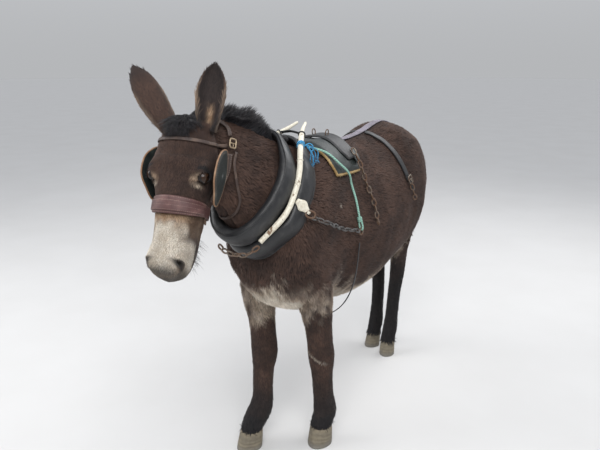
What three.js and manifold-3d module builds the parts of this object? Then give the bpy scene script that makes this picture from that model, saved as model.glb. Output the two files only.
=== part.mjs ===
// Donkey in cart harness, standing, life size.
// Millimetres, +Z up. The animal faces -Y and its left side is +X.
// The origin is on the floor, under the middle of its outline.

import * as THREE from 'three';
import { mergeVertices } from 'three/addons/utils/BufferGeometryUtils.js';
import Module from 'manifold-3d';

const wasm = await Module();
wasm.setup();

// Driving dimensions
const gap = 0.35;               // clearance where two pieces meet
const strapLift = 2.5;          // straps lie this far off the coat
const strapThick = 5;
const coronetHeight = 66;       // top of the hoof wall
const headLength = 458;         // poll to lips
const headTurn = 12;            // degrees to the animal's left
const headDrop = 67;            // degrees below level
const pollAt = [-77, -821, 1228];
const earWidth = 84;
const earThick = 6;
const eyeRadius = 19;
const maneAtPoll = 62;
const maneAtCollar = 26;
const hameRadius = 10;
const cordRadius = 4;
const chainWire = 3.2;
const linkWidth = 22;
const linkPitch = 28;

// Vectors
const add = (a, b) => [a[0] + b[0], a[1] + b[1], a[2] + b[2]];
const minus = (a, b) => [a[0] - b[0], a[1] - b[1], a[2] - b[2]];
const times = (a, s) => [a[0] * s, a[1] * s, a[2] * s];
const dot = (a, b) => a[0] * b[0] + a[1] * b[1] + a[2] * b[2];
const cross = (a, b) => [
  a[1] * b[2] - a[2] * b[1],
  a[2] * b[0] - a[0] * b[2],
  a[0] * b[1] - a[1] * b[0],
];
const size = (a) => Math.hypot(a[0], a[1], a[2]);
const unit = (a) => times(a, 1 / size(a));
const between = (a, b, t) => a + (b - a) * t;
const along = (a, b, t) => add(a, times(minus(b, a), t));
const clamp = (v, low, high) => Math.min(Math.max(v, low), high);
const radians = (degrees) => degrees * Math.PI / 180;
const range = (count) => Array.from({ length: count }, (_, i) => i);
const steps = (from, to, count) => range(count).map((i) => between(from, to, i / (count - 1)));
const eased = (t) => t * t * (3 - 2 * t);

const acrossX = [1, 0, 0];
const forwardY = [0, 1, 0];
const upZ = [0, 0, 1];

// A station is a place on a limb with its half width and half depth there.
const station = (x, y, z, wide, deep) => ({ at: [x, y, z], wide, deep });

// Catmull-Rom through the stations, so that a limb swells and thins without corners.
function rounded(stations, perSpan = 3) {
  const values = stations.map((s) => [...s.at, s.wide, s.deep]);
  const result = [];
  for (let i = 0; i + 1 < values.length; i++) {
    const [before, a, b, after] = [values[Math.max(i - 1, 0)], values[i], values[i + 1],
      values[Math.min(i + 2, values.length - 1)]];
    for (let j = 0; j < perSpan; j++) {
      const t = j / perSpan;
      const v = a.map((_, k) => 0.5 * (2 * a[k] + (b[k] - before[k]) * t
        + (2 * before[k] - 5 * a[k] + 4 * b[k] - after[k]) * t * t
        + (3 * a[k] - before[k] - 3 * b[k] + after[k]) * t * t * t));
      result.push(station(...v));
    }
  }
  result.push(stations[stations.length - 1]);
  return result;
}

// Distance fields: negative inside, zero on the coat.
function spanField(side, a, b) {
  const axis = minus(b.at, a.at);
  const lengthSquared = dot(axis, axis);
  return (p) => {
    const t = clamp(dot(minus(p, a.at), axis) / lengthSquared, 0, 1);
    const off = minus(p, along(a.at, b.at, t));
    const wide = between(a.wide, b.wide, t);
    const deep = between(a.deep, b.deep, t);
    const sideways = dot(off, side);
    const rest = Math.sqrt(Math.max(dot(off, off) - sideways * sideways, 0));
    return (Math.hypot(sideways / wide, rest / deep) - 1) * Math.min(wide, deep);
  };
}

function limbField(side, stations) {
  const fine = rounded(stations);
  const spans = fine.slice(1).map((s, i) => spanField(side, fine[i], s));
  return (p) => spans.reduce((least, span) => Math.min(least, span(p)), Infinity);
}

const ballField = (centre, radius) => (p) => size(minus(p, centre)) - radius;

function melt(amount, fields) {
  return (p) => fields.reduce((total, field) => {
    const value = field(p);
    const close = Math.max(amount - Math.abs(total - value), 0) / amount;
    return Math.min(total, value) - close * close * amount / 4;
  }, 1e4);
}

const mirrored = (field) => (p) => field([-p[0], p[1], p[2]]);

function castOut(field, from, direction, far, level) {
  let inside = 0;
  let outside = far;
  for (let reach = 0; reach < far;) {
    const value = field(add(from, times(direction, reach))) - level;
    if (value > 0) {
      outside = reach;
      break;
    }
    inside = reach;
    reach += Math.max(3, -value * 0.9);
  }
  for (let i = 0; i < 12; i++) {
    const middle = (inside + outside) / 2;
    const value = field(add(from, times(direction, middle))) - level;
    if (value > 0) outside = middle;
    else inside = middle;
  }
  return Math.max((inside + outside) / 2, 1);
}

function slope(field, p) {
  const h = 1;
  const part = (axis) => (field(add(p, times(axis, h))) - field(minus(p, times(axis, h)))) / (2 * h);
  return [part(acrossX), part(forwardY), part(upZ)];
}

function settle(field, p, level) {
  let place = p;
  for (let i = 0; i < 10; i++) {
    const g = slope(field, place);
    const move = (field(place) - level) / Math.max(dot(g, g), 0.05);
    place = minus(place, times(g, clamp(move, -40, 40)));
  }
  return place;
}

// Meshes from rings of points: each ring has the same count, and each end closes on one point.
function ringMesh(rings, firstPole, lastPole) {
  const count = rings[0].length;
  const points = [...rings.flat(), firstPole, lastPole];
  const faces = [];
  for (let r = 0; r + 1 < rings.length; r++) {
    for (let s = 0; s < count; s++) {
      const next = (s + 1) % count;
      const [a, b, c, d] = [r * count + s, r * count + next, (r + 1) * count + s, (r + 1) * count + next];
      faces.push(a, b, d, a, d, c);
    }
  }
  const last = (rings.length - 1) * count;
  for (let s = 0; s < count; s++) {
    const next = (s + 1) % count;
    faces.push(rings.length * count, next, s);
    faces.push(rings.length * count + 1, last + s, last + next);
  }
  return solidFrom(points.flat(), faces);
}

// A closed loop of rings, such as a collar or a band round the body.
function loopMesh(rings) {
  const count = rings[0].length;
  const faces = [];
  for (let r = 0; r < rings.length; r++) {
    const after = (r + 1) % rings.length;
    for (let s = 0; s < count; s++) {
      const next = (s + 1) % count;
      const [a, b, c, d] = [r * count + s, r * count + next, after * count + s, after * count + next];
      faces.push(a, b, d, a, d, c);
    }
  }
  return solidFrom(rings.flat(2), faces);
}

function solidFrom(numbers, faces) {
  const build = (order) => new wasm.Manifold(new wasm.Mesh({
    numProp: 3, vertProperties: new Float32Array(numbers), triVerts: new Uint32Array(order),
  }));
  const solid = build(faces);
  return solid.volume() > 0 ? solid : build([...faces].reverse());
}

function solidOf(geometry) {
  const bare = geometry.clone();
  bare.deleteAttribute('normal');
  bare.deleteAttribute('uv');
  const merged = mergeVertices(bare, 1e-3);
  return solidFrom([...merged.attributes.position.array], [...merged.index.array]);
}

// The coat's surface seen from a row of centres, ring by ring.
function wrap(field, centres, segments, { level = 0, far = 400, flatStart = false, flatEnd = false } = {}) {
  const rings = centres.map(({ at, right, up }) => range(segments).map((s) => {
    const angle = 2 * Math.PI * s / segments;
    const direction = add(times(right, Math.cos(angle)), times(up, Math.sin(angle)));
    return add(at, times(direction, castOut(field, at, direction, far, level)));
  }));
  const pole = (end, inner, flat) => {
    if (flat) return end.at;
    const direction = unit(minus(end.at, inner.at));
    return add(end.at, times(direction, castOut(field, end.at, direction, far, level)));
  };
  const last = centres.length - 1;
  return ringMesh(rings, pole(centres[0], centres[1], flatStart),
    pole(centres[last], centres[last - 1], flatEnd));
}

const largest = (solid) => solid.decompose().sort((a, b) => b.volume() - a.volume())[0];

// ---- Trunk ----
const barrel = [
  station(0, -440, 790, 118, 132),
  station(0, -350, 794, 148, 226),
  station(0, -235, 796, 172, 278),
  station(0, -90, 770, 192, 308),
  station(0, 60, 760, 205, 312),
  station(0, 210, 788, 200, 290),
  station(0, 330, 858, 180, 236),
  station(0, 430, 915, 148, 160),
  station(0, 482, 930, 104, 98),
];
const withers = [
  station(0, -345, 1002, 45, 60),
  station(0, -240, 1026, 42, 58),
  station(0, -60, 1006, 42, 48),
  station(0, 180, 1040, 52, 50),
  station(0, 340, 1070, 64, 52),
  station(0, 470, 1022, 42, 46),
];
const shoulder = [
  station(82, -315, 1000, 42, 78),
  station(108, -410, 900, 56, 98),
  station(112, -478, 790, 62, 88),
  station(112, -430, 690, 56, 84),
  station(112, -395, 640, 48, 70),
];
const haunch = [
  station(88, 305, 1012, 60, 72),
  station(98, 385, 940, 74, 122),
  station(104, 402, 830, 78, 140),
  station(108, 372, 740, 68, 120),
  station(104, 372, 660, 50, 88),
];
const buttock = [
  station(62, 462, 965, 50, 62),
  station(70, 495, 880, 54, 64),
  station(80, 488, 780, 52, 62),
  station(88, 468, 700, 44, 52),
];
const breast = [
  station(46, -492, 850, 58, 62),
  station(52, -512, 772, 64, 62),
  station(46, -470, 660, 54, 66),
  station(40, -420, 600, 44, 50),
];

const bothSides = (stations) => {
  const field = limbField(acrossX, stations);
  return [field, mirrored(field)];
};

const trunkField = melt(70, [
  limbField(acrossX, barrel),
  limbField(acrossX, withers),
  ...bothSides(shoulder),
  ...bothSides(haunch),
  ...bothSides(buttock),
  ...bothSides(breast),
]);

function trunkCentres() {
  const rings = 20;
  const front = -562;
  const back = 548;
  return range(rings).map((i) => {
    const t = i / (rings - 1);
    const y = between(front, back, between(t, 0.5 - 0.5 * Math.cos(Math.PI * t), 0.85));
    const z = between(775, 900, eased(clamp((y - front) / (back - front), 0, 1)));
    return { at: [0, y, z], right: acrossX, up: upZ };
  });
}

const trunkSolid = (level = 0) => wrap(trunkField, trunkCentres(), 22, { level });

// ---- Neck ----
const neckLine = [
  station(0, -360, 905, 118, 205),
  station(-2, -470, 935, 102, 190),
  station(-14, -575, 985, 82, 160),
  station(-34, -650, 1044, 62, 122),
  station(-54, -708, 1094, 50, 96),
  station(-70, -752, 1130, 46, 68),
];
const crest = [
  station(0, -330, 1030, 32, 44),
  station(-6, -470, 1060, 30, 46),
  station(-22, -590, 1116, 30, 46),
  station(-50, -695, 1168, 30, 40),
  station(-70, -765, 1196, 34, 32),
];
const neckField = melt(46, [limbField(acrossX, neckLine), limbField(acrossX, crest)]);

function neckCentres() {
  const line = rounded(neckLine, 2);
  return line.map((s, i) => {
    const [a, b] = [line[Math.max(i - 1, 0)].at, line[Math.min(i + 1, line.length - 1)].at];
    const forward = unit(minus(b, a));
    const right = unit(minus(acrossX, times(forward, dot(acrossX, forward))));
    return { at: s.at, right, up: cross(right, forward) };
  });
}

const neckWrap = (level = 0) => wrap(neckField, neckCentres(), 14, { level, flatStart: true });

// ---- Head, in its own axes: down the face, out of the face, and to its left ----
const faceDown = [
  Math.sin(radians(headTurn)) * Math.cos(radians(headDrop)),
  -Math.cos(radians(headTurn)) * Math.cos(radians(headDrop)),
  -Math.sin(radians(headDrop)),
];
const faceLeft = [Math.cos(radians(headTurn)), Math.sin(radians(headTurn)), 0];
const faceOut = cross(faceDown, faceLeft);
const headScale = headLength / 470;

function onHead(down, out, left) {
  const offset = add(add(times(faceDown, down), times(faceOut, out)), times(faceLeft, left));
  return add(pollAt, times(offset, headScale));
}

const headStation = (down, out, left, wide, deep) => ({
  at: onHead(down, out, left), wide: wide * headScale, deep: deep * headScale,
});

const face = [
  headStation(28, -66, 0, 70, 58),
  headStation(88, -64, 0, 94, 74),
  headStation(150, -70, 0, 92, 72),
  headStation(215, -70, 0, 78, 67),
  headStation(285, -69, 0, 66, 61),
  headStation(345, -67, 0, 61, 58),
  headStation(400, -66, 0, 62, 57),
  headStation(424, -70, 0, 57, 47),
];
const jaw = [
  headStation(86, -142, 0, 56, 62),
  headStation(145, -158, 0, 62, 72),
  headStation(215, -142, 0, 52, 60),
  headStation(300, -123, 0, 47, 57),
  headStation(370, -120, 0, 46, 53),
  headStation(404, -110, 0, 43, 42),
];
const headPair = (down, out, left, wide, deep) => [1, -1].map(
  (s) => headStation(down, out, s * left, wide, deep));
const headBalls = (down, out, left, radius) => headPair(down, out, left).map(
  (s) => ballField(s.at, radius * headScale));

const cheek = (s) => limbField(faceLeft, [
  headStation(120, -120, s * 34, 26, 50),
  headStation(165, -138, s * 36, 26, 54),
  headStation(205, -118, s * 30, 22, 42),
]);
const cheekRidge = (s) => limbField(faceLeft, [
  headStation(165, -62, s * 68, 15, 18),
  headStation(225, -72, s * 52, 13, 14),
  headStation(285, -74, s * 40, 10, 10),
]);
const headField = melt(26, [
  limbField(faceLeft, face),
  limbField(faceLeft, jaw),
  cheek(1),
  cheek(-1),
  cheekRidge(1),
  cheekRidge(-1),
  ...headBalls(144, -36, 72, 29),
  ...headBalls(405, -40, 38, 24),
]);

function headCentres(from, to, count) {
  return steps(from, to, count).map((down) => {
    const t = clamp(down / 470, 0, 1);
    return { at: onHead(down, between(-92, -76, t), 0), right: faceLeft, up: faceOut };
  });
}

const muzzleLine = 292;
const headWrap = (level = 0) => wrap(headField, headCentres(2, 452, 20), 19, { level });

const eyePlaces = { left: onHead(164, -33, 80), right: onHead(164, -33, -80) };

function eyeSolid(centre, radius) {
  const ball = new THREE.SphereGeometry(radius, 8, 6);
  ball.rotateZ(radians(90));
  ball.translate(...centre);
  return solidOf(ball);
}

// A slab that keeps what is beyond a plane.
function halfSpace(point, normal, reach = 700) {
  const box = new THREE.BoxGeometry(2 * reach, 2 * reach, 2 * reach);
  box.translate(0, 0, reach);
  box.applyQuaternion(new THREE.Quaternion().setFromUnitVectors(
    new THREE.Vector3(0, 0, 1), new THREE.Vector3(...normal)));
  box.translate(...point);
  return solidOf(box);
}

// ---- Ears: a leaf rolled into a cup ----
const ears = {
  left: { base: onHead(30, -52, 58), lean: [-0.11, 0.38, 0.9], open: 38, tall: 203 },
  right: { base: onHead(28, -50, -54), lean: [-0.6, -0.04, 0.84], open: -125, tall: 222 },
};

function earSolid({ base, lean, open, tall }) {
  const axis = unit(lean);
  const facing = [Math.sin(radians(open)), -Math.cos(radians(open)), 0];
  const forward = unit(minus(facing, times(axis, dot(facing, axis))));
  const right = cross(forward, axis);
  const arcSteps = 6;
  const rings = steps(0, 1, 9).map((t) => {
    const half = earWidth / 2 * earOutline(t);
    const roll = radians(between(155, 62, Math.pow(t, 0.55)));
    const radius = Math.max(half / Math.sin(Math.min(roll, Math.PI / 2)), 5);
    const back = radius * 0.62;
    const centre = add(add(base, times(axis, tall * t)), times(forward, between(0, 12, t * t) - 6));
    const thick = between(earThick * 1.8, earThick * 0.6, t);
    const arc = (r) => steps(-roll, roll, arcSteps).map((a) => add(add(centre,
      times(right, r * Math.sin(a))), times(forward, back * 0.8 - r * Math.cos(a) * 0.85)));
    return [...arc(radius), ...arc(radius - Math.min(thick, radius * 0.5)).reverse()];
  });
  return earMesh(rings, arcSteps);
}

const earOutline = (t) => (t < 0.55 ? 0.66 + 0.34 * Math.sin(Math.PI * t / 1.1)
  : Math.pow(1 - ((t - 0.55) / 0.46) ** 2, 0.6));

function earMesh(rings, arcSteps) {
  const count = rings[0].length;
  const faces = [];
  for (let r = 0; r + 1 < rings.length; r++) {
    for (let s = 0; s < count; s++) {
      const next = (s + 1) % count;
      const [a, b, c, d] = [r * count + s, r * count + next, (r + 1) * count + s, (r + 1) * count + next];
      faces.push(a, b, d, a, d, c);
    }
  }
  const last = (rings.length - 1) * count;
  for (let s = 0; s + 1 < arcSteps; s++) {
    const [a, b, c, d] = [s, s + 1, count - 1 - s, count - 2 - s];
    faces.push(a, c, d, a, d, b);
    faces.push(last + a, last + d, last + c, last + a, last + b, last + d);
  }
  return solidFrom(rings.flat(2), faces);
}

// ---- Legs ----
const foreLeg = (x, y, shift, turnIn, lead) => [
  station(110, -405, 690, 48, 68),
  station(114, -402 - lead, 600, 61, 82),
  station(between(112, x, 0.3), between(-395, y, 0.2), 520, 54, 67),
  station(between(110, x, 0.6), between(-390, y, 0.4) + shift, 430, 46, 52),
  station(between(108, x, 0.75) - turnIn - 1, between(-386, y, 0.55) + shift, 352, 52, 54),
  station(between(108, x, 0.8) - turnIn, between(-386, y, 0.6) + shift, 308, 43, 45),
  station(between(108, x, 0.9) - turnIn, between(-384, y, 0.72) + shift, 230, 38, 42),
  station(between(108, x, 0.97) - turnIn * 1.4, between(-384, y, 0.85) + shift * 1.4, 165, 39, 46),
  station(x - turnIn * 0.7, y + 10 + shift, 122, 43, 53),
  station(x, y - 3, 92, 41, 47),
  station(x, y - 14, 66, 41, 45),
];
const hindLeg = (x, y) => [
  station(104, 388, 735, 54, 110),
  station(100, 402, 650, 50, 98),
  station(between(94, x, 0.3), between(430, y, 0.25), 565, 42, 71),
  station(between(88, x, 0.55), between(462, y + 45, 0.5), 485, 36, 50),
  station(between(86, x, 0.7), between(475, y + 58, 0.6), 425, 37, 46),
  station(between(88, x, 0.8), between(470, y + 48, 0.8), 370, 33, 40),
  station(between(92, x, 0.92), y + 36, 290, 31, 35),
  station(between(92, x, 0.97), y + 24, 185, 31, 36),
  station(x, y + 16, 128, 36, 41),
  station(x, y + 2, 94, 33, 37),
  station(x, y - 8, 66, 37, 42),
];

const feet = {
  foreleg_left: { line: foreLeg(117, -342, 0, -4, 0), toe: 4 },
  foreleg_right: { line: foreLeg(90, -498, 14, 13, 24), toe: -6, flip: true },
  hindleg_left: { line: hindLeg(45, 438), toe: 10, hind: true },
  hindleg_right: { line: hindLeg(52, 488), toe: -10, hind: true, flip: true },
};

const flipped = (stations) => stations.map((s) => ({ ...s, at: [-s.at[0], s.at[1], s.at[2]] }));
const legLine = (leg) => (leg.flip ? flipped(leg.line) : leg.line);

function pointOfHock(line) {
  const hock = line[4];
  return ballField(add(hock.at, [0, 27, 34]), 22);
}

function legField(leg) {
  const line = legLine(leg);
  const parts = [limbField(acrossX, line)];
  if (leg.hind) parts.push(pointOfHock(line));
  return melt(24, parts);
}

function legCentres(line) {
  const fine = rounded(line, 4);
  const heightAt = (z) => {
    const i = clamp(fine.findIndex((s) => s.at[2] <= z), 1, fine.length - 1);
    const t = clamp((fine[i - 1].at[2] - z) / (fine[i - 1].at[2] - fine[i].at[2]), 0, 1);
    return along(fine[i - 1].at, fine[i].at, t);
  };
  const heights = [...steps(680, 400, 5), ...steps(366, 260, 4), ...steps(210, coronetHeight, 6)];
  return heights.map((z) => {
    const at = heightAt(z);
    return { at: [at[0], at[1], z], right: acrossX, up: forwardY };
  });
}

function legWrap(leg, level = 0) {
  return wrap(legField(leg), legCentres(legLine(leg)), 9,
    { level, far: 110, flatStart: true, flatEnd: true });
}

// ---- Hooves: narrow, upright and longer than wide ----
function hoofSolid(leg) {
  const end = legLine(leg)[10].at;
  const turn = radians(leg.toe);
  const outline = (z, forward, halfWide, toeReach, heelReach) => range(12).map((s) => {
    const angle = 2 * Math.PI * s / 12;
    const reach = Math.sin(angle) > 0 ? heelReach : toeReach;
    const x = halfWide * Math.cos(angle) * (1 - 0.12 * Math.max(-Math.sin(angle), 0));
    const y = reach * Math.sin(angle) - forward;
    const across = end[0] + x * Math.cos(turn) - y * Math.sin(turn);
    return [across, end[1] + x * Math.sin(turn) + y * Math.cos(turn), z];
  });
  const top = coronetHeight - gap;
  const slim = leg.hind ? 0.8 : 1;
  const rings = [
    outline(0, 12, 45 * slim, 54 * slim, 46 * slim),
    outline(6, 11, 45 * slim, 54 * slim, 46 * slim),
    outline(top * 0.6, 5, 43 * slim, 49 * slim, 45 * slim),
    outline(top, 0, 40 * slim, 44 * slim, 43 * slim),
  ];
  return ringMesh(rings, [end[0], end[1] - 12, 0], [end[0], end[1], top]);
}

// ---- Tail ----
const dock = [
  station(0, 470, 985, 34, 34),
  station(0, 540, 960, 30, 32),
  station(0, 574, 880, 24, 26),
  station(2, 578, 780, 19, 21),
  station(4, 574, 690, 17, 19),
];
const tailSwitch = [
  station(4, 574, 720, 18, 20),
  station(6, 574, 640, 30, 30),
  station(8, 570, 540, 33, 32),
  station(10, 566, 450, 24, 22),
  station(11, 562, 385, 8, 8),
];

function hangingCentres(line, perSpan) {
  return rounded(line, perSpan).map((s) => ({ at: s.at, right: acrossX, up: forwardY }));
}

const dockWrap = (level = 0) => wrap(limbField(acrossX, dock), hangingCentres(dock, 2), 7,
  { level, far: 60, flatStart: true, flatEnd: true });
const switchSolid = () => wrap(limbField(acrossX, tailSwitch), hangingCentres(tailSwitch.slice(1), 2), 9,
  { far: 60 });

// ---- Mane: upright, along the crest from poll to collar ----
function maneSolid() {
  const line = smoothPath([
    [-51, -684, 1200],
    [-46, -672, 1192],
    [-24, -600, 1172],
    [-8, -500, 1130],
    [-2, -440, 1100],
  ], 9).map((p) => settle(neckField, p, 0));
  const rings = line.map((p, i) => {
    const forward = unit(minus(line[Math.min(i + 1, line.length - 1)], line[Math.max(i - 1, 0)]));
    const up = unit(minus(upZ, times(forward, dot(upZ, forward))));
    const out = cross(forward, up);
    const t = i / (line.length - 1);
    const tall = between(maneAtPoll, maneAtCollar, eased(t)) * Math.min(0.62 + 2 * t, 1);
    const profile = [[-18, -0.4], [-14, 0.8], [0, 1], [14, 0.8], [18, -0.4]];
    return profile.map(([x, h]) => add(add(p, times(out, x)), times(up, tall * h)));
  });
  return ringMesh(rings, middle(rings[0]), middle(rings[rings.length - 1]));
}

// ---- Forelock: a short tuft between the ears ----
const forelock = [
  headStation(-36, -46, 0, 20, 30),
  headStation(-12, -18, -2, 23, 34),
  headStation(12, -2, -4, 22, 24),
  headStation(36, 4, 0, 15, 11),
];
const forelockSolid = () => wrap(limbField(faceLeft, forelock), rounded(forelock, 2).map(
  (s) => ({ at: s.at, right: faceLeft, up: faceOut })), 7, { far: 60, flatStart: true });

// ---- Body assembly ----
const trunk = trunkSolid();
const trunkCut = trunkSolid(gap);
const headWhole = headWrap();
const headCut = headWrap(gap);
const neckWhole = neckWrap();

const pieces = new Map();
const put = (name, solid, finish) => pieces.set(name, { solid: largest(solid), finish });

const coat = { color: 0x3b2a24, roughness: 0.95, metalness: 0 };
const muzzleCoat = { color: 0xd8cfc0, roughness: 0.95, metalness: 0 };
const darkHair = { color: 0x17161a, roughness: 0.9, metalness: 0 };
const legCoat = { color: 0x241a17, roughness: 0.95, metalness: 0 };
const horn = { color: 0x8d7f6c, roughness: 0.6, metalness: 0 };
const eyeGlass = { color: 0x120c0a, roughness: 0.1, metalness: 0 };
const blackLeather = { color: 0x1f2022, roughness: 0.55, metalness: 0 };
const brownLeather = { color: 0x5b3434, roughness: 0.6, metalness: 0 };
const saddleCloth = { color: 0x1d2622, roughness: 0.8, metalness: 0 };
const blueTwine = { color: 0x2c8fc4, roughness: 0.7, metalness: 0 };
const greenCord = { color: 0x6fae9a, roughness: 0.8, metalness: 0 };
const greyWeb = { color: 0x8f8a99, roughness: 0.8, metalness: 0 };
const steel = { color: 0x8b8378, roughness: 0.5, metalness: 0.9 };
const creamPaint = { color: 0xe2dccb, roughness: 0.45, metalness: 0.1 };

put('trunk', trunk, coat);
put('neck', neckWhole.subtract(trunkCut).subtract(headCut), coat);

const eyeSockets = Object.values(eyePlaces).map((place) => eyeSolid(place, eyeRadius + gap));
const headHollow = eyeSockets.reduce((solid, socket) => solid.subtract(socket), headWhole);
const muzzlePlane = (shift) => halfSpace(onHead(muzzleLine + shift, -70, 0), faceDown);
put('head', headHollow.subtract(muzzlePlane(-gap / 2)), coat);
put('muzzle', headHollow.intersect(muzzlePlane(gap / 2)), muzzleCoat);
for (const [side, place] of Object.entries(eyePlaces)) {
  put(`eye_${side}`, eyeSolid(place, eyeRadius), eyeGlass);
}
const neckCut = neckWrap(gap);
for (const [side, ear] of Object.entries(ears)) {
  put(`ear_${side}`, earSolid(ear).subtract(headCut).subtract(neckCut), coat);
}

for (const [name, leg] of Object.entries(feet)) {
  put(name, legWrap(leg).subtract(trunkCut), legCoat);
  put(name.replace('leg', 'hoof'), hoofSolid(leg), horn);
}
put('tail_dock', dockWrap().subtract(trunkCut), coat);
put('tail_switch', switchSolid().subtract(dockWrap(gap)), darkHair);

// ---- Harness: straps that lie on the coat ----
const bodyField = melt(12, [trunkField, neckField]);

// A strap round the body in one plane. It closes on itself, or runs from one angle to another.
function band(field, { at, right, up }, width, options = {}) {
  const {
    from = 0, to = 360, count = 24, across = 2, lift = () => strapLift, thick = strapThick, far = 400,
  } = options;
  const closed = to - from === 360;
  const forward = cross(right, up);
  const angles = closed ? steps(from, to, count + 1).slice(0, count) : steps(from, to, count);
  const rings = angles.map((degrees) => {
    const direction = add(times(right, Math.cos(radians(degrees))), times(up, Math.sin(radians(degrees))));
    const half = (typeof width === 'function' ? width(degrees) : width) / 2;
    const onCoat = (shift, raise) => {
      const start = add(at, times(forward, shift));
      return add(start, times(direction, castOut(field, start, direction, far, 0) + raise));
    };
    const low = lift(degrees);
    const shifts = steps(-half, half, across);
    return [...shifts.map((shift) => onCoat(shift, low)),
      ...shifts.reverse().map((shift) => onCoat(shift, low + thick))];
  });
  return closed ? loopMesh(rings) : ringMesh(rings, middle(rings[0]), middle(rings[rings.length - 1]));
}

const middle = (points) => times(points.reduce(add), 1 / points.length);

function smoothPath(points, count) {
  const curve = new THREE.CatmullRomCurve3(points.map((p) => new THREE.Vector3(...p)));
  return curve.getSpacedPoints(count - 1).map((p) => p.toArray());
}

function tangentOf(path, i) {
  return unit(minus(path[Math.min(i + 1, path.length - 1)], path[Math.max(i - 1, 0)]));
}

// A strap laid on the coat along a row of places.
function ribbon(field, points, width, count, lift = strapLift, thick = strapThick) {
  const path = smoothPath(points.map((p) => settle(field, p, lift)), count);
  const rings = path.map((p, i) => {
    const out = unit(slope(field, p));
    const side = unit(cross(tangentOf(path, i), out));
    const [left, right] = [-1, 1].map((s) => settle(field, add(p, times(side, s * width / 2)), lift));
    return [left, right, add(right, times(out, thick)), add(left, times(out, thick))];
  });
  return ringMesh(rings, middle(rings[0]), middle(rings[rings.length - 1]));
}

// A round bar along a path.
function bar(points, radius, count, sides = 6) {
  const path = smoothPath(points, count);
  let right = unit(cross(tangentOf(path, 0), Math.abs(tangentOf(path, 0)[2]) > 0.9 ? acrossX : upZ));
  const rings = path.map((p, i) => {
    const forward = tangentOf(path, i);
    right = unit(minus(right, times(forward, dot(right, forward))));
    const up = cross(right, forward);
    return range(sides).map((s) => {
      const angle = 2 * Math.PI * s / sides;
      return add(p, add(times(right, radius * Math.cos(angle)), times(up, radius * Math.sin(angle))));
    });
  });
  return ringMesh(rings, path[0], path[path.length - 1]);
}

// A ring of wire, round or stretched, with its plane set by two directions.
function wireRing(at, long, wide, halfLong, halfWide, wire, count = 8) {
  const normal = unit(cross(long, wide));
  return loopMesh(range(count).map((i) => {
    const angle = 2 * Math.PI * i / count;
    const spoke = add(times(unit(long), (halfLong - wire) * Math.cos(angle)),
      times(unit(wide), (halfWide - wire) * Math.sin(angle)));
    const section = [times(unit(spoke), wire), times(normal, wire)];
    return [...section, ...section.map((p) => times(p, -1))].map((p) => add(at, add(spoke, p)));
  }));
}

// Links threaded one through the next, each as a plate turned a quarter from the last.
function chain(points, outward) {
  const route = smoothPath(points, 40);
  const long = route.slice(1).reduce((total, p, i) => total + size(minus(p, route[i])), 0);
  const links = Math.round(long / linkPitch);
  const path = smoothPath(points, 2 * links + 1);
  const thin = chainWire * 1.5;
  const sections = range(2 * links + 1).map((i) => {
    const forward = tangentOf(path, i);
    const side = unit(cross(forward, outward));
    const up = cross(side, forward);
    const half = linkWidth / 2;
    const [wide, deep] = [[thin, thin], [half, thin], [thin, thin], [thin, half]][i % 4];
    return [[wide, 0], [0, deep], [-wide, 0], [0, -deep]].map(
      ([x, y]) => add(path[i], add(times(side, x), times(up, y))));
  });
  return ringMesh(sections, path[0], path[path.length - 1]);
}

// Collar, on a plane that leans forward from the withers to the point of the shoulder.
const collarMiddle = [0, -478, 945];
const collarForward = unit([0, -0.803, 0.596]);
const collarUp = cross(collarForward, acrossX);
const collarPlane = (shift) => ({
  at: add(collarMiddle, times(collarForward, shift)), right: acrossX, up: collarUp,
});

// A roll round the neck, resting on the coat.
function collarRoll(shift, halfThick, halfWidth, grow, count, sides) {
  const { at, right, up } = collarPlane(shift);
  const rings = steps(0, 360, count + 1).slice(0, count).map((degrees) => {
    const direction = add(times(right, Math.cos(radians(degrees))), times(up, Math.sin(radians(degrees))));
    const thick = halfThick * (1 - 0.5 * capThinning(degrees));
    const reach = castOut(bodyField, at, direction, 400, 0) + thick + 1;
    const core = add(at, times(direction, reach));
    return range(sides).map((s) => {
      const turn = 2 * Math.PI * (s + 0.5) / sides;
      return add(core, add(times(direction, (thick + grow) * Math.cos(turn)),
        times(collarForward, (halfWidth + grow) * Math.sin(turn))));
    });
  });
  return loopMesh(rings);
}

// The collar is thin over the crest and full at the shoulders.
const capThinning = (degrees) => Math.pow(Math.max(Math.sin(radians(degrees)), 0), 3);

function onCollar(shift, degrees, stand) {
  const { at, right, up } = collarPlane(shift);
  const direction = add(times(right, Math.cos(radians(degrees))), times(up, Math.sin(radians(degrees))));
  return add(at, times(direction, castOut(bodyField, at, direction, 400, 0) + stand));
}

const mirroredPoints = (points) => points.map((p) => [-p[0], p[1], p[2]]);

// A box with its own axes, for plates and buckles.
function plate(at, long, wide, length, width, thick) {
  const normal = cross(unit(long), unit(wide));
  const box = new THREE.BoxGeometry(length, width, thick);
  const turn = new THREE.Matrix4().makeBasis(new THREE.Vector3(...unit(long)),
    new THREE.Vector3(...unit(cross(normal, unit(long)))), new THREE.Vector3(...unit(normal)));
  box.applyMatrix4(turn);
  box.translate(...at);
  return solidOf(box);
}

const padRoll = (grow = 0) => collarRoll(30, 22, 42, grow, 18, 6);
const frontRoll = (grow = 0) => collarRoll(116, 23, 40, grow, 18, 6);
const padCut = padRoll(gap);
const frontCut = frontRoll(gap);
put('collar_pad', padRoll().subtract(trunkCut).subtract(neckCut), blackLeather);
put('collar_roll', frontRoll().subtract(neckCut).subtract(padCut), blackLeather);

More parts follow.
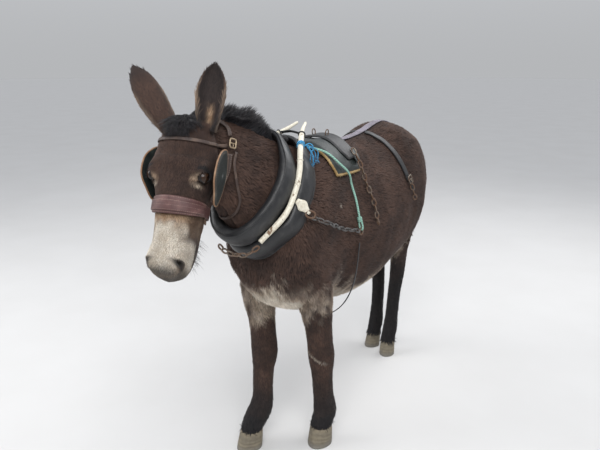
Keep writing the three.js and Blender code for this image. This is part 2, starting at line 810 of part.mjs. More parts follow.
// Each hame is a tube that follows the groove of the collar and stands up past its top.
const bothSidesOf = [['left', (points) => points], ['right', mirroredPoints]];
const hameShift = 88;
const hameStand = 52;
const hamePoints = [
  [16, -306, 1174],
  [38, -366, 1148],
  onCollar(hameShift, 54, hameStand - 2),
  onCollar(hameShift, 30, hameStand - 10),
  onCollar(hameShift, 0, hameStand - 10),
  onCollar(hameShift, -36, hameStand - 2),
  onCollar(hameShift, -70, hameStand),
];
const hookPoints = [
  onCollar(hameShift - 6, -14, hameStand + 4),
  onCollar(hameShift - 32, -15, hameStand + 10),
  onCollar(hameShift - 58, -17, hameStand + 16),
];
const hameRoute = smoothPath(hamePoints, 13);
const tieHalf = [add(hameRoute[2], [-hameRadius - 1, 0, 0]), [8, hameRoute[2][1], hameRoute[2][2] + 6]];
const hameCuts = bothSidesOf.map(([, place]) => bar(place(hamePoints), hameRadius + gap, 12));
const offCollar = (solid) => solid.subtract(frontCut).subtract(padCut);
bothSidesOf.forEach(([side, place], i) => {
  put(`hame_${side}`, offCollar(bar(place(hamePoints), hameRadius, 12)), creamPaint);
  put(`hame_hook_${side}`, offCollar(bar(place(hookPoints), 11, 4)).subtract(hameCuts[i]), creamPaint);
});
const tie = bar([...tieHalf, ...mirroredPoints(tieHalf).reverse()], 6, 6);
put('hame_strap', offCollar(tie).subtract(hameCuts[0]).subtract(hameCuts[1]), blackLeather);
const twineAt = add(hameRoute[4], [22, 14, -16]);
put('hame_twine', offCollar(wireRing(twineAt, upZ, forwardY, 30, 13, 3, 8)), blueTwine);

const underCollar = steps(-109, -71, 5).map((degrees) => onCollar(hameShift, degrees, hameStand + 12));
put('hame_chain', chain(underCollar, collarForward), steel);

// Cart saddle, thin over the spine and full beside it
const crossFrame = (y, z, tilt = 0) => ({ at: [0, y, z], right: acrossX, up: unit([0, tilt, 1]) });
const saddleCut = padRoll(4);
put('saddle_pad', band(trunkField, crossFrame(-218, 860), 216,
  { from: 44, to: 136, count: 11, across: 5, lift: () => 4, thick: 15 }).subtract(saddleCut), saddleCloth);
put('saddle_tree', band(trunkField, crossFrame(-176, 860), 90,
  { from: 54, to: 126, count: 9, across: 3, lift: () => 23, thick: 8 }).subtract(saddleCut), blackLeather);

// On each side a ring hangs on a cord from the hames, over the saddle. It holds the trace chain
// and the loose strap under the belly. Another chain hangs from the back of the saddle.
const offCoat = (p, stand) => settle(trunkField, p, stand);
const ringAt = offCoat([190, -212, 792], 12);
const cordPoints = [
  offCoat([52, -358, 1096], 12),
  offCoat([98, -330, 1062], 25),
  offCoat([138, -298, 1034], 25),
  offCoat([149, -256, 1000], 25),
  offCoat([154, -226, 960], 9),
  offCoat([168, -218, 900], 8),
  offCoat([184, -212, 828], 9),
];
const backChainPoints = [
  offCoat([104, -152, 1062], 40),
  offCoat([140, -150, 1012], 34),
  offCoat([154, -128, 950], 14),
  offCoat([178, -108, 870], 12),
  offCoat([205, -92, 790], 12),
];
const tracePoints = [
  add(hookPoints[2], [0, 14, -16]),
  offCoat([176, -440, 868], 22),
  offCoat([178, -340, 830], 16),
  add(ringAt, [0, -18, 6]),
];
const bellyDip = 62;
put('belly_strap', band(trunkField, crossFrame(-212, 760), 24, {
  from: 184, to: 356, count: 15, lift: (degrees) => 6 + bellyDip * Math.pow(-Math.sin(radians(degrees)), 3),
}), blackLeather);
for (const [side, place] of bothSidesOf) {
  const [at] = place([ringAt]);
  put(`tug_ring_${side}`, wireRing(at, upZ, forwardY, 16, 16, 3, 8), steel);
  put(`tug_cord_${side}`, bar(place(cordPoints), cordRadius, 13, 4), greenCord);
  put(`back_chain_${side}`, chain(place(backChainPoints), acrossX), steel);
  put(`trace_chain_${side}`, chain(place(tracePoints), acrossX), steel);
}

// Back strap, crupper and hip straps
const spine = [[0, -92, 1120], [0, 80, 1110], [0, 300, 1140], [0, 480, 1070], [0, 530, 1010]];
put('back_strap', ribbon(trunkField, spine, 34, 13).subtract(trunkCut), greyWeb);
const hipPath = [[24, 150, 1110], [82, 175, 1075], [120, 190, 1036], [164, 212, 963], [184, 228, 905]];
const hipChainPoints = [
  offCoat([186, 232, 884], 13),
  offCoat([193, 246, 850], 13),
  offCoat([197, 262, 818], 13),
];
for (const [side, place] of bothSidesOf) {
  const strap = ribbon(trunkField, place(hipPath), 28, 8);
  put(`hip_strap_${side}`, strap.subtract(trunkCut), blackLeather);
  const buckleAt = settle(trunkField, place([hipPath[4]])[0], 15);
  const out = unit(slope(trunkField, buckleAt));
  const down = unit(cross(out, cross([0, 0.3, -1], out)));
  put(`hip_buckle_${side}`, wireRing(buckleAt, down, cross(out, down), 19, 17, 2.6, 6), steel);
  put(`hip_chain_${side}`, chain(place(hipChainPoints), acrossX), steel);
}

const headAndNeck = melt(14, [headField, neckField]);
put('mane', offCollar(maneSolid().subtract(neckCut)), darkHair);
put('forelock', forelockSolid().subtract(headCut).subtract(neckCut), darkHair);

// Bridle
const headLoop = (down, out = -86) => ({ at: onHead(down, out, 0), right: faceLeft, up: faceOut });
put('noseband', band(headField, headLoop(252), (degrees) => 38 + 16 * Math.max(Math.sin(radians(degrees)), 0),
  { count: 19, lift: () => 3.2 }), brownLeather);
const onHeadRow = (places, sign = 1) => places.map(([down, out, left]) => onHead(down, out, sign * left));
const overHead = (half) => [...onHeadRow(half), ...onHeadRow(half.slice(0, -1), -1).reverse()];
const offHead = (solid) => solid.subtract(headCut).subtract(neckCut);
const crownRow = [[24, -134, 76], [4, -126, 68], [-14, -108, 44], [-24, -92, 0]];
put('crown_strap', offHead(ribbon(headAndNeck, overHead(crownRow), 20, 11, 4)), blackLeather);
const browRow = [[50, -122, 88], [56, -84, 93], [64, -40, 84], [66, -8, 44], [66, 0, 0]];
put('browband', offHead(ribbon(headField, overHead(browRow), 15, 13)), brownLeather);
const throatLine = [
  onHead(66, -168, 78),
  [16, -712, 1080],
  [24, -712, 1025],
  [20, -700, 972],
  [-48, -688, 925],
  [-98, -696, 968],
  [-120, -706, 1025],
  [-138, -714, 1078],
  onHead(66, -168, -78),
];
put('throat_strap', offHead(ribbon(headAndNeck, throatLine, 16, 12)), blackLeather);
const cheekRow = [[72, -141, 80], [130, -138, 90], [220, -116, 80]];
for (const [side, sign] of [['left', 1], ['right', -1]]) {
  put(`cheek_strap_${side}`, offHead(ribbon(headField, onHeadRow(cheekRow, sign), 24, 9)), blackLeather);
  put(`blinker_${side}`, offHead(blinkerSolid(sign)), blackLeather);
  const buckleAt = settle(headAndNeck, onHead(42, -140, sign * 84), 9);
  put(`bridle_buckle_${side}`, wireRing(buckleAt, faceDown, faceOut, 16, 13, 2.6, 8), steel);
}

// Blinkers are broad above and narrow to the noseband. The right one is pressed in.
function blinkerSolid(sign) {
  const pressed = sign > 0 ? 0 : 14;
  const corner = (down, out, left) => onHead(down, out, sign * (left - pressed));
  const edge = [
    corner(74, -108, 104),
    corner(78, -60, 114),
    corner(114, -22, 122),
    corner(166, -16, 122),
    corner(204, -42, 115),
    corner(232, -68, 106),
    corner(226, -100, 101),
    corner(150, -114, 107),
  ];
  const out = times(faceLeft, sign * strapThick);
  const outer = edge.map((p) => add(p, out));
  return ringMesh([edge, outer], middle(edge), middle(outer));
}

const group = new THREE.Group();
function meshOf(name, { solid, finish }) {
  const { vertProperties, triVerts } = solid.getMesh();
  const geometry = new THREE.BufferGeometry();
  geometry.setAttribute('position', new THREE.BufferAttribute(vertProperties, 3));
  geometry.setIndex(new THREE.BufferAttribute(triVerts, 1));
  geometry.computeVertexNormals();
  const mesh = new THREE.Mesh(geometry, new THREE.MeshStandardMaterial(finish));
  mesh.name = name;
  return mesh;
}
for (const [name, piece] of pieces) group.add(meshOf(name, piece));

// The origin goes to the floor under the middle of the outline.
const outline = new THREE.Box3().setFromObject(group);
const centre = outline.getCenter(new THREE.Vector3());
group.position.set(-centre.x, -centre.y, -outline.min.z);

export default group;
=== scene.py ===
# Donkey in cart harness: standing, life size, with collar, hames, cart saddle and bridle.
import math
import bpy
import bmesh
import numpy as np
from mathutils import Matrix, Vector
from mathutils.bvhtree import BVHTree


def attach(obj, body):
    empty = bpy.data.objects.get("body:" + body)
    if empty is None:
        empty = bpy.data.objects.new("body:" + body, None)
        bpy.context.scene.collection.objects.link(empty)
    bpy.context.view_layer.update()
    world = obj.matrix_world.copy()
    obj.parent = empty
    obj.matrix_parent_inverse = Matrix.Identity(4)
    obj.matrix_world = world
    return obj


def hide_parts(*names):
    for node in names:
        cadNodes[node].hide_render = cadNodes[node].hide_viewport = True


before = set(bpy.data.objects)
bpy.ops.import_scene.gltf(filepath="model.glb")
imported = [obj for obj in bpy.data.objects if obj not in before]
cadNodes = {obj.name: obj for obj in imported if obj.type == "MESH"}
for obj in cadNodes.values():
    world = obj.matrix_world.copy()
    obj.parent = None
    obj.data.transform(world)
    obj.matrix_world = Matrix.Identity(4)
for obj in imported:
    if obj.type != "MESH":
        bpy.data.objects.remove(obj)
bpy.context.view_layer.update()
scene = bpy.context.scene
rng = np.random.default_rng(7)
bothSides = (("left", 1), ("right", -1))

# Places are given in millimetres from the middle of the withers' foot, as in the part's source.
middleShift = np.array([25.934, 183.35, 0.0])


def metres(places):
    return (np.asarray(places, float) + middleShift) / 1000


def unit(v):
    v = np.asarray(v, float)
    return v / np.maximum(np.linalg.norm(v, axis=-1, keepdims=True), 1e-12)


def eased(low, high, value):
    t = np.clip((value - low) / (high - low), 0, 1)
    return t * t * (3 - 2 * t)


def bell(*pairs):
    # given values and their widths in turn: 1 where every value is 0
    return np.exp(-sum((value / width) ** 2 for value, width in zip(pairs[::2], pairs[1::2])))


def runAlong(path):
    # the distance along a path at each of its places
    return np.concatenate([[0], np.cumsum(np.linalg.norm(np.diff(path, axis=0), axis=1))])


# camera
cameraSetup = {"place": (1.1050, -1.8974, 1.373), "tilt": math.pi / 2 - 0.265, "turn": 0.549, "lens": 36}

camera = bpy.data.objects.new("camera", bpy.data.cameras.new("camera"))
camera.location = cameraSetup["place"]
camera.rotation_euler = (cameraSetup["tilt"], 0, cameraSetup["turn"])
camera.data.lens = cameraSetup["lens"]
camera.data.sensor_width = 36
camera.data.clip_end = 60
scene.collection.objects.link(camera)
scene.camera = camera


# making meshes
def meshObject(name, points, faces, material=None, uv=None, smooth=True):
    # faces are triangles or quads, as an array or a list of index lists
    mesh = bpy.data.meshes.new(name)
    if isinstance(faces, np.ndarray):
        count, sides = faces.shape
        mesh.vertices.add(len(points))
        mesh.vertices.foreach_set("co", np.asarray(points, np.float32).ravel())
        mesh.loops.add(count * sides)
        mesh.loops.foreach_set("vertex_index", faces.astype(np.int32).ravel())
        mesh.polygons.add(count)
        mesh.polygons.foreach_set("loop_start", np.arange(0, count * sides, sides, dtype=np.int32))
        mesh.update(calc_edges=True)
    else:
        mesh.from_pydata([tuple(p) for p in points], [], faces)
    mesh.polygons.foreach_set("use_smooth", np.full(len(mesh.polygons), smooth))
    if uv is not None:
        loops = readAll(mesh.loops, "vertex_index", np.int32, 1)
        mesh.uv_layers.new(name="along").data.foreach_set("uv", np.asarray(uv, np.float32)[loops].ravel())
    made = bpy.data.objects.new(name, mesh)
    scene.collection.objects.link(made)
    if material:
        mesh.materials.append(material)
    return made


def place(piece, *replaced, slot=None):
    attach(piece, "root")
    if replaced:
        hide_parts(*replaced)
    return piece


def readAll(items, field, kind=np.float32, width=3):
    found = np.empty(len(items) * width, kind)
    items.foreach_get(field, found)
    return found.reshape(-1, width) if width > 1 else found


def points(mesh):
    return readAll(mesh.vertices, "co").astype(float)


def setPoints(mesh, moved):
    mesh.vertices.foreach_set("co", np.asarray(moved, np.float32).ravel())
    mesh.update()


def normals(mesh):
    return readAll(mesh.vertices, "normal").astype(float)


def triangles(mesh):
    mesh.calc_loop_triangles()
    return readAll(mesh.loop_triangles, "vertices", np.int32)


def edges(mesh):
    return readAll(mesh.edges, "vertices", np.int32, 2)


def modified(mesh, kind, group=None, **settings):
    # the mesh as one modifier leaves it; group: the points that it may work on
    maker = bpy.data.objects.new("maker", mesh)
    scene.collection.objects.link(maker)
    modifier = maker.modifiers.new(kind, kind)
    if group is not None:
        maker.vertex_groups.new(name="chosen").add(group.tolist(), 1.0, "REPLACE")
        modifier.vertex_group = "chosen"
    for key, value in settings.items():
        setattr(modifier, key, value)
    result = bpy.data.meshes.new_from_object(maker.evaluated_get(bpy.context.evaluated_depsgraph_get()))
    bpy.data.objects.remove(maker)
    return result


def neighbourMean(values, pairs, count):
    a, b = pairs[:, 0], pairs[:, 1]
    degree = np.bincount(a, minlength=count) + np.bincount(b, minlength=count)
    total = np.stack([np.bincount(a, column[b], count) + np.bincount(b, column[a], count)
                      for column in values.T], axis=1)
    return total / np.maximum(degree, 1)[:, None]


def wobble(places, size, seed):
    # a smooth random value from -1 to 1 that changes over about this size, in metres
    mixer = np.random.default_rng(seed)
    total = np.zeros(len(places))
    for _ in range(6):
        total += np.sin(places @ (mixer.normal(size=3) * 2.2 / size) + mixer.uniform(0, 6.3))
    return total / 3.2


# the head's own axes: down the face, out of the face, and to its left
headSetup = {"poll": (-77, -821, 1228), "turn": 12, "drop": 67, "scale": 458 / 470}
turn, drop = (math.radians(headSetup[k]) for k in ("turn", "drop"))
faceDown = np.array([math.sin(turn) * math.cos(drop), -math.cos(turn) * math.cos(drop), -math.sin(drop)])
faceLeft = np.array([math.cos(turn), math.sin(turn), 0])
faceOut = np.cross(faceDown, faceLeft)
headAxes = np.stack([faceDown, faceOut, faceLeft])


def onHead(down, out, left):
    offset = np.array([down, out, left], float) @ headAxes
    return metres(np.array(headSetup["poll"]) + offset * headSetup["scale"])


def headPlaces(co):
    away = co * 1000 - middleShift - np.array(headSetup["poll"])
    return (away @ headAxes.T) / headSetup["scale"]


# ears
earSetup = {
    "ear_left": {"base": (30, -52, 58), "lean": (-0.11, 0.38, 0.9), "open": 38, "tall": 203},
    "ear_right": {"base": (28, -50, -54), "lean": (-0.6, -0.04, 0.84), "open": -125, "tall": 222},
    "halfWide": 42,
}


def earFrame(name):
    ear = earSetup[name]
    way = unit(ear["lean"])
    facing = np.array([math.sin(math.radians(ear["open"])), -math.cos(math.radians(ear["open"])), 0])
    return onHead(*ear["base"]), way, unit(facing - way * (facing @ way))


def roundedEars(co):
    # the ears' tips drawn in to a round end
    for name in ("ear_left", "ear_right"):
        base, way, opening = earFrame(name)
        sideways = np.cross(way, opening)
        height, across = (co - base) @ way * 1000, (co - base) @ sideways * 1000
        t = np.clip((height / earSetup[name]["tall"] - 0.96) / 0.06, 0, 1) * (np.abs(across) < 60) * (height < 260)
        co = co - (across * (1 - np.sqrt(1 - 0.5 * t ** 2)) / 1000)[:, None] * sideways
    return co


# skin
skinSetup = {
    "parts": ["trunk", "neck", "head", "muzzle", "ear_left", "ear_right", "foreleg_left", "foreleg_right",
              "hindleg_left", "hindleg_right", "tail_dock"],
    "voxel": 0.003,
    "relaxSteps": 34,
    "keepShare": 0.20,
    # how deep the coat is over each part, in millimetres
    "coatDepth": {"trunk": 7.5, "neck": 7.5, "head": 3.2, "muzzle": 1.5, "ear_left": 0.9, "ear_right": 0.9,
                  "foreleg_left": 4, "foreleg_right": 4, "hindleg_left": 4, "hindleg_right": 4, "tail_dock": 6},
}


def roundedPart(name):
    # the solid with its facets rounded, kept sharp where it was cut, and a little swollen to close the cuts
    bm = bmesh.new()
    bm.from_mesh(cadNodes[name].data)
    bmesh.ops.remove_doubles(bm, verts=bm.verts, dist=1e-5)
    crease = bm.edges.layers.float.new("crease_edge")
    for edge in bm.edges:
        edge[crease] = 1.0 if edge.calc_face_angle(0) > 0.95 else 0.0
    mesh = bpy.data.meshes.new("rounded")
    bm.to_mesh(mesh)
    bm.free()
    result = modified(mesh, "SUBSURF", levels=2)
    setPoints(result, points(result) + normals(result) * 0.0009)
    return result


def outerCoat():
    bm = bmesh.new()
    for name in skinSetup["parts"]:
        bm.from_mesh(roundedPart(name))
    mesh = bpy.data.meshes.new("coatSurface")
    bm.to_mesh(mesh)
    bm.free()
    result = modified(mesh, "REMESH", mode="VOXEL", voxel_size=skinSetup["voxel"])
    pairs = edges(result)
    co = points(result)
    height = headPlaces(co)
    earTip = eased(-20, -90, height[:, 0])[:, None] * 0.75
    for _ in range(skinSetup["relaxSteps"]):
        co = co + 0.5 * (1 - earTip) * (neighbourMean(co, pairs, len(co)) - co)
        co = co - 0.53 * (1 - earTip) * (neighbourMean(co, pairs, len(co)) - co)
    setPoints(result, roundedEars(withoutCrumbs(result, co)))
    return result


def withoutCrumbs(mesh, co):
    # deletes every loose bit apart from the body itself
    pairs = edges(mesh)
    label = np.arange(len(co))
    while True:
        low = label.copy()
        np.minimum.at(low, pairs[:, 0], label[pairs[:, 1]])
        np.minimum.at(low, pairs[:, 1], label[pairs[:, 0]])
        low = low[low]
        if np.array_equal(low, label):
            break
        label = low
    whole = np.bincount(label).argmax()
    crumbs = np.nonzero(label != whole)[0]
    bm = bmesh.new()
    bm.from_mesh(mesh)
    bm.verts.ensure_lookup_table()
    bmesh.ops.delete(bm, geom=[bm.verts[i] for i in crumbs.tolist()], context="VERTS")
    bm.to_mesh(mesh)
    bm.free()
    print("crumbs", len(crumbs))
    return co[label == whole]


def lighter(mesh):
    # fewer faces on the body, all of them kept on the head
    co = points(mesh)
    onBody = (co[:, 1] > -0.5) | ((headPlaces(co)[:, 0] < 10) & (co[:, 2] < 1.2))
    return modified(mesh, "DECIMATE", np.nonzero(onBody)[0], ratio=skinSetup["keepShare"])


coatSurface = lighter(outerCoat())
print("coat surface", len(coatSurface.vertices), len(coatSurface.polygons))


def finer(mesh, spots):
    # smaller faces around the eyes, nostrils and lips
    bm = bmesh.new()
    bm.from_mesh(mesh)
    for reach in (1.0, 0.62):
        bm.verts.ensure_lookup_table()
        co = np.array([v.co for v in bm.verts])
        close = np.zeros(len(co), bool)
        for centre, radius in spots:
            close |= np.linalg.norm(co - centre, axis=1) < radius * reach
        chosen = [e for e in bm.edges if close[e.verts[0].index] and close[e.verts[1].index]]
        bmesh.ops.subdivide_edges(bm, edges=chosen, cuts=1, use_grid_fill=True)
        bmesh.ops.triangulate(bm, faces=[f for f in bm.faces if len(f.verts) > 4])
    bm.to_mesh(mesh)
    bm.free()


eyeSetup = {"down": 164, "out": -33, "left": 80, "radius": 19, "lid": 2.6, "halfLong": 15.5, "halfHigh": 5.8}
nostrilSetup = {"down": 409, "out": -34, "left": 43, "long": 15, "wide": 8, "depth": 17}
fineSpots = []
for side in (1, -1):
    fineSpots.append((onHead(eyeSetup["down"], eyeSetup["out"], side * eyeSetup["left"]), 0.044))
    fineSpots.append((onHead(nostrilSetup["down"], nostrilSetup["out"], side * nostrilSetup["left"]), 0.034))
    fineSpots.append((onHead(412, -98, side * 34), 0.036))
finer(coatSurface, fineSpots)


def coatRay(start, way):
    # where a line from inside the animal leaves its coat
    return np.array(coatTree.ray_cast(Vector(start), Vector(way))[0])


def nearestParts(co):
    # which of the solids each place belongs to
    gathered, faceParts, start = [], [], 0
    faces = []
    for index, name in enumerate(skinSetup["parts"]):
        mesh = cadNodes[name].data
        part = triangles(mesh)
        faces.append(part + start)
        gathered.append(points(mesh))
        faceParts.append(np.full(len(part), index))
        start += len(mesh.vertices)
    tree = BVHTree.FromPolygons(np.concatenate(gathered).tolist(), np.concatenate(faces).tolist())
    faceParts = np.concatenate(faceParts)
    return np.array([faceParts[tree.find_nearest(p)[2]] for p in co.tolist()])


surfacePoints = points(coatSurface)
surfaceNormals = normals(coatSurface)
surfacePairs = edges(coatSurface)
coatTree = BVHTree.FromPolygons(surfacePoints.tolist(), triangles(coatSurface).tolist())
partOf = nearestParts(surfacePoints)
partNumber = {name: i for i, name in enumerate(skinSetup["parts"])}


def inParts(*names):
    return np.isin(partOf, [partNumber[n] for n in names])


def softened(values, steps=24):
    for _ in range(steps):
        values = neighbourMean(values, surfacePairs, len(values))
    return values


isEar = inParts("ear_left", "ear_right")
isHead = inParts("head", "muzzle")
isLeg = inParts("foreleg_left", "foreleg_right", "hindleg_left", "hindleg_right")
head = headPlaces(surfacePoints)
body = surfacePoints * 1000 - middleShift      # millimetres on the body

coatDepth = np.array([skinSetup["coatDepth"][n] for n in skinSetup["parts"]])[partOf]
coatDepth = coatDepth + 3 * isLeg * eased(430, 560, body[:, 2]) + 3 * isLeg * (1 - eased(120, 150, body[:, 2]))
coatDepth = softened(coatDepth[:, None], 14)[:, 0]


# lie of the coat: which way the hair grows
def coatLie():
    lie = np.tile([0.0, 1.0, -0.42], (len(body), 1))
    rump = eased(300, 480, body[:, 1])[:, None]
    lie = lie * (1 - rump) + rump * np.array([0, 0.45, -0.9])
    chest = (1 - eased(-520, -400, body[:, 1]))[:, None] * inParts("trunk")[:, None]
    lie = lie * (1 - chest) + chest * np.array([0, 0.35, -1.0])
    under = (eased(0.5, 0.9, -surfaceNormals[:, 2]) * inParts("trunk"))[:, None]
    lie = lie * (1 - under) + under * np.array([0, 1.0, 0])
    isNeck = inParts("neck")
    lie[isNeck] = [0.12, 0.72, -0.72]
    crown = isHead & (head[:, 0] < 112)
    lie[isHead] = faceDown * 0.9 - faceOut * 0.25
    lie[isHead & (head[:, 1] < -95)] = faceDown * 0.25 - faceOut * 1.0
    lie[crown & (head[:, 1] > -60)] = -faceDown
    lie[isHead & (head[:, 0] > 300)] = faceDown
    lie[isLeg] = [0, 0.12, -1]
    lie[inParts("tail_dock")] = [0, 0.2, -1]
    for name, way in (("ear_left", (-0.11, 0.38, 0.9)), ("ear_right", (-0.6, -0.04, 0.84))):
        lie[inParts(name)] = way
    return lie


def tangent(vectors, about):
    return unit(vectors - np.sum(vectors * about, axis=1, keepdims=True) * about)


hairLie = tangent(softened(unit(coatLie()), 16), surfaceNormals)


# sculpting the skin
def eyeField(places, side):
    # distance from the eye's middle, and the place in the lids' almond: 1 on their edge
    offset = places - [eyeSetup["down"], eyeSetup["out"], side * eyeSetup["left"]]
    gaze = unit([-0.05, 0.3, side])
    alongLids = unit(np.array([1, 0.22, 0]) - gaze * (gaze @ [1, 0.22, 0]))
    upward = np.cross(gaze, alongLids) * side
    away = np.linalg.norm(offset, axis=1)
    ahead = offset @ gaze
    u = offset @ alongLids / eyeSetup["halfLong"]
    v = offset @ upward / eyeSetup["halfHigh"]
    taper = np.sqrt(np.clip(1 - np.clip(np.abs(u), 0, 1) ** 2.2, 0.02, 1))
    almond = np.maximum(np.abs(u), np.abs(v) / taper)
    almond = np.where(ahead > 0, np.where(np.abs(u) < 1, np.abs(v) / taper * 0.9 + 0.1 * u * u, np.abs(u)), 9)
    return offset, away, almond, u, v, ahead


def sculptedEyes(co):
    places = headPlaces(co)
    for side in (1, -1):
        offset, away, almond, u, v, ahead = eyeField(places, side)
        reach = np.sqrt((u * 0.9) ** 2 + (v * 0.48) ** 2)
        held = (1 - eased(1.0, 1.9, reach)) * (ahead > -4)
        lidRadius = eyeSetup["radius"] / headSetup["scale"] + eyeSetup["lid"]
        lidRadius = lidRadius + 1.1 * bell(almond - 1.25, 0.28) * (v > 0)
        crease = bell(almond - 2.3, 0.28) * (v > 0) * 2.0 + bell(almond - 2.3, 0.35) * (v < 0)
        radius = lidRadius - crease
        socket = eyeSetup["radius"] / headSetup["scale"] - 5
        radius = socket + (radius - socket) * eased(0.86, 1.06, almond)
        wanted = offset / np.maximum(away, 1e-6)[:, None] * radius[:, None]
        places = places + (wanted - offset) * held[:, None]
        brow = bell(u + 0.3, 1.6, v - 3.4, 1.6) * (ahead > -10)
        places = places + brow[:, None] * np.array([0, 2.5, side * 4.0])
        hollow = bell(u + 0.5, 1.1, v - 6.8, 1.7) * (ahead > -30)
        places = places - hollow[:, None] * np.array([0, 2.0, side * 4.0])
    return metres(np.array(headSetup["poll"]) + places @ headAxes * headSetup["scale"])


def nostrilField(places, side):
    offset = places - [nostrilSetup["down"], nostrilSetup["out"], side * nostrilSetup["left"]]
    outward = unit([0.42, 0.35, side * 0.84])
    long = unit(np.cross(outward, np.array([0.55, -0.8, 0.1 * side])))
    long = np.cross(long, outward)
    wide = np.cross(outward, long)
    u = offset @ long / nostrilSetup["long"]
    v = offset @ wide / nostrilSetup["wide"]
    bend = v - 0.5 * (u * u - 0.3) * side
    return offset, outward, np.sqrt(u * u + bend * bend), offset @ outward


def sculptedMuzzle(co):
    places = headPlaces(co)
    for side in (1, -1):
        _, outward, ring, ahead = nostrilField(places, side)
        front = eased(-22, -12, ahead)
        pit = (1 - eased(0.35, 1.05, ring)) * nostrilSetup["depth"]
        rim = 2.4 * bell(ring - 1.25, 0.28)
        places = places + (front * (rim - pit))[:, None] * outward
    d, o, l = places.T
    lipLine = -97 + 0.10 * (d - 400) - 10 * eased(440, 452, d)
    along = eased(352, 372, d)
    groove = bell(o - lipLine, 2.3) * along
    inward = np.stack([eased(425, 455, d), np.zeros(len(d)), np.sign(l) * eased(2, 16, np.abs(l))], 1)
    inward = unit(inward + 1e-6)
    places = places - (groove * 5.5)[:, None] * inward
    lips = bell(o - lipLine - 7, 4.5) * along + bell(o - lipLine + 7, 4.5) * along
    places = places + (lips * 1.6)[:, None] * inward
    return metres(np.array(headSetup["poll"]) + places @ headAxes * headSetup["scale"])


def muscleLines(co):
    # soft hollows and swells under the coat, in millimetres
    x, y, z = (co * 1000 - middleShift).T
    side = np.abs(x)
    swell = 3.5 * bell(y + 330, 60, z - 700, 80)
    swell -= 4.5 * bell(y + 255, 22, z - 640, 90) * (side > 90)
    swell -= 5.0 * bell(y - 285 - 0.25 * (z - 800), 32, z - 790, 120) * (side > 80)
    swell += 2.2 * wobble(co, 0.12, 3) * (z > 450) + 1.0 * wobble(co, 0.05, 4)
    return swell


inset = coatDepth - muscleLines(surfacePoints) * eased(0.45, 0.7, surfacePoints[:, 2]) * ~(isHead | isEar)
skinPoints = surfacePoints - surfaceNormals * np.maximum(inset, 0.5)[:, None] / 1000
nearHead = isHead | (inParts("neck") & (head[:, 0] > 20))
skinPoints[nearHead] = sculptedMuzzle(sculptedEyes(skinPoints[nearHead]))
skinMesh = coatSurface.copy()
skinMesh.name = "skin"
setPoints(skinMesh, skinPoints)
skin = bpy.data.objects.new("skin", skinMesh)
scene.collection.objects.link(skin)
skinMesh.polygons.foreach_set("use_smooth", np.ones(len(skinMesh.polygons), bool))
bpy.context.view_layer.objects.active = skin
skin.select_set(True)
skinMesh.uv_layers.new(name="OFBake")
bpy.ops.object.mode_set(mode="EDIT")
bpy.ops.mesh.select_all(action="SELECT")
bpy.ops.uv.smart_project(angle_limit=1.15, island_margin=0.002)
bpy.ops.object.mode_set(mode="OBJECT")
place(skin, *skinSetup["parts"], slot="coat")
print("skin", len(skinMesh.vertices))


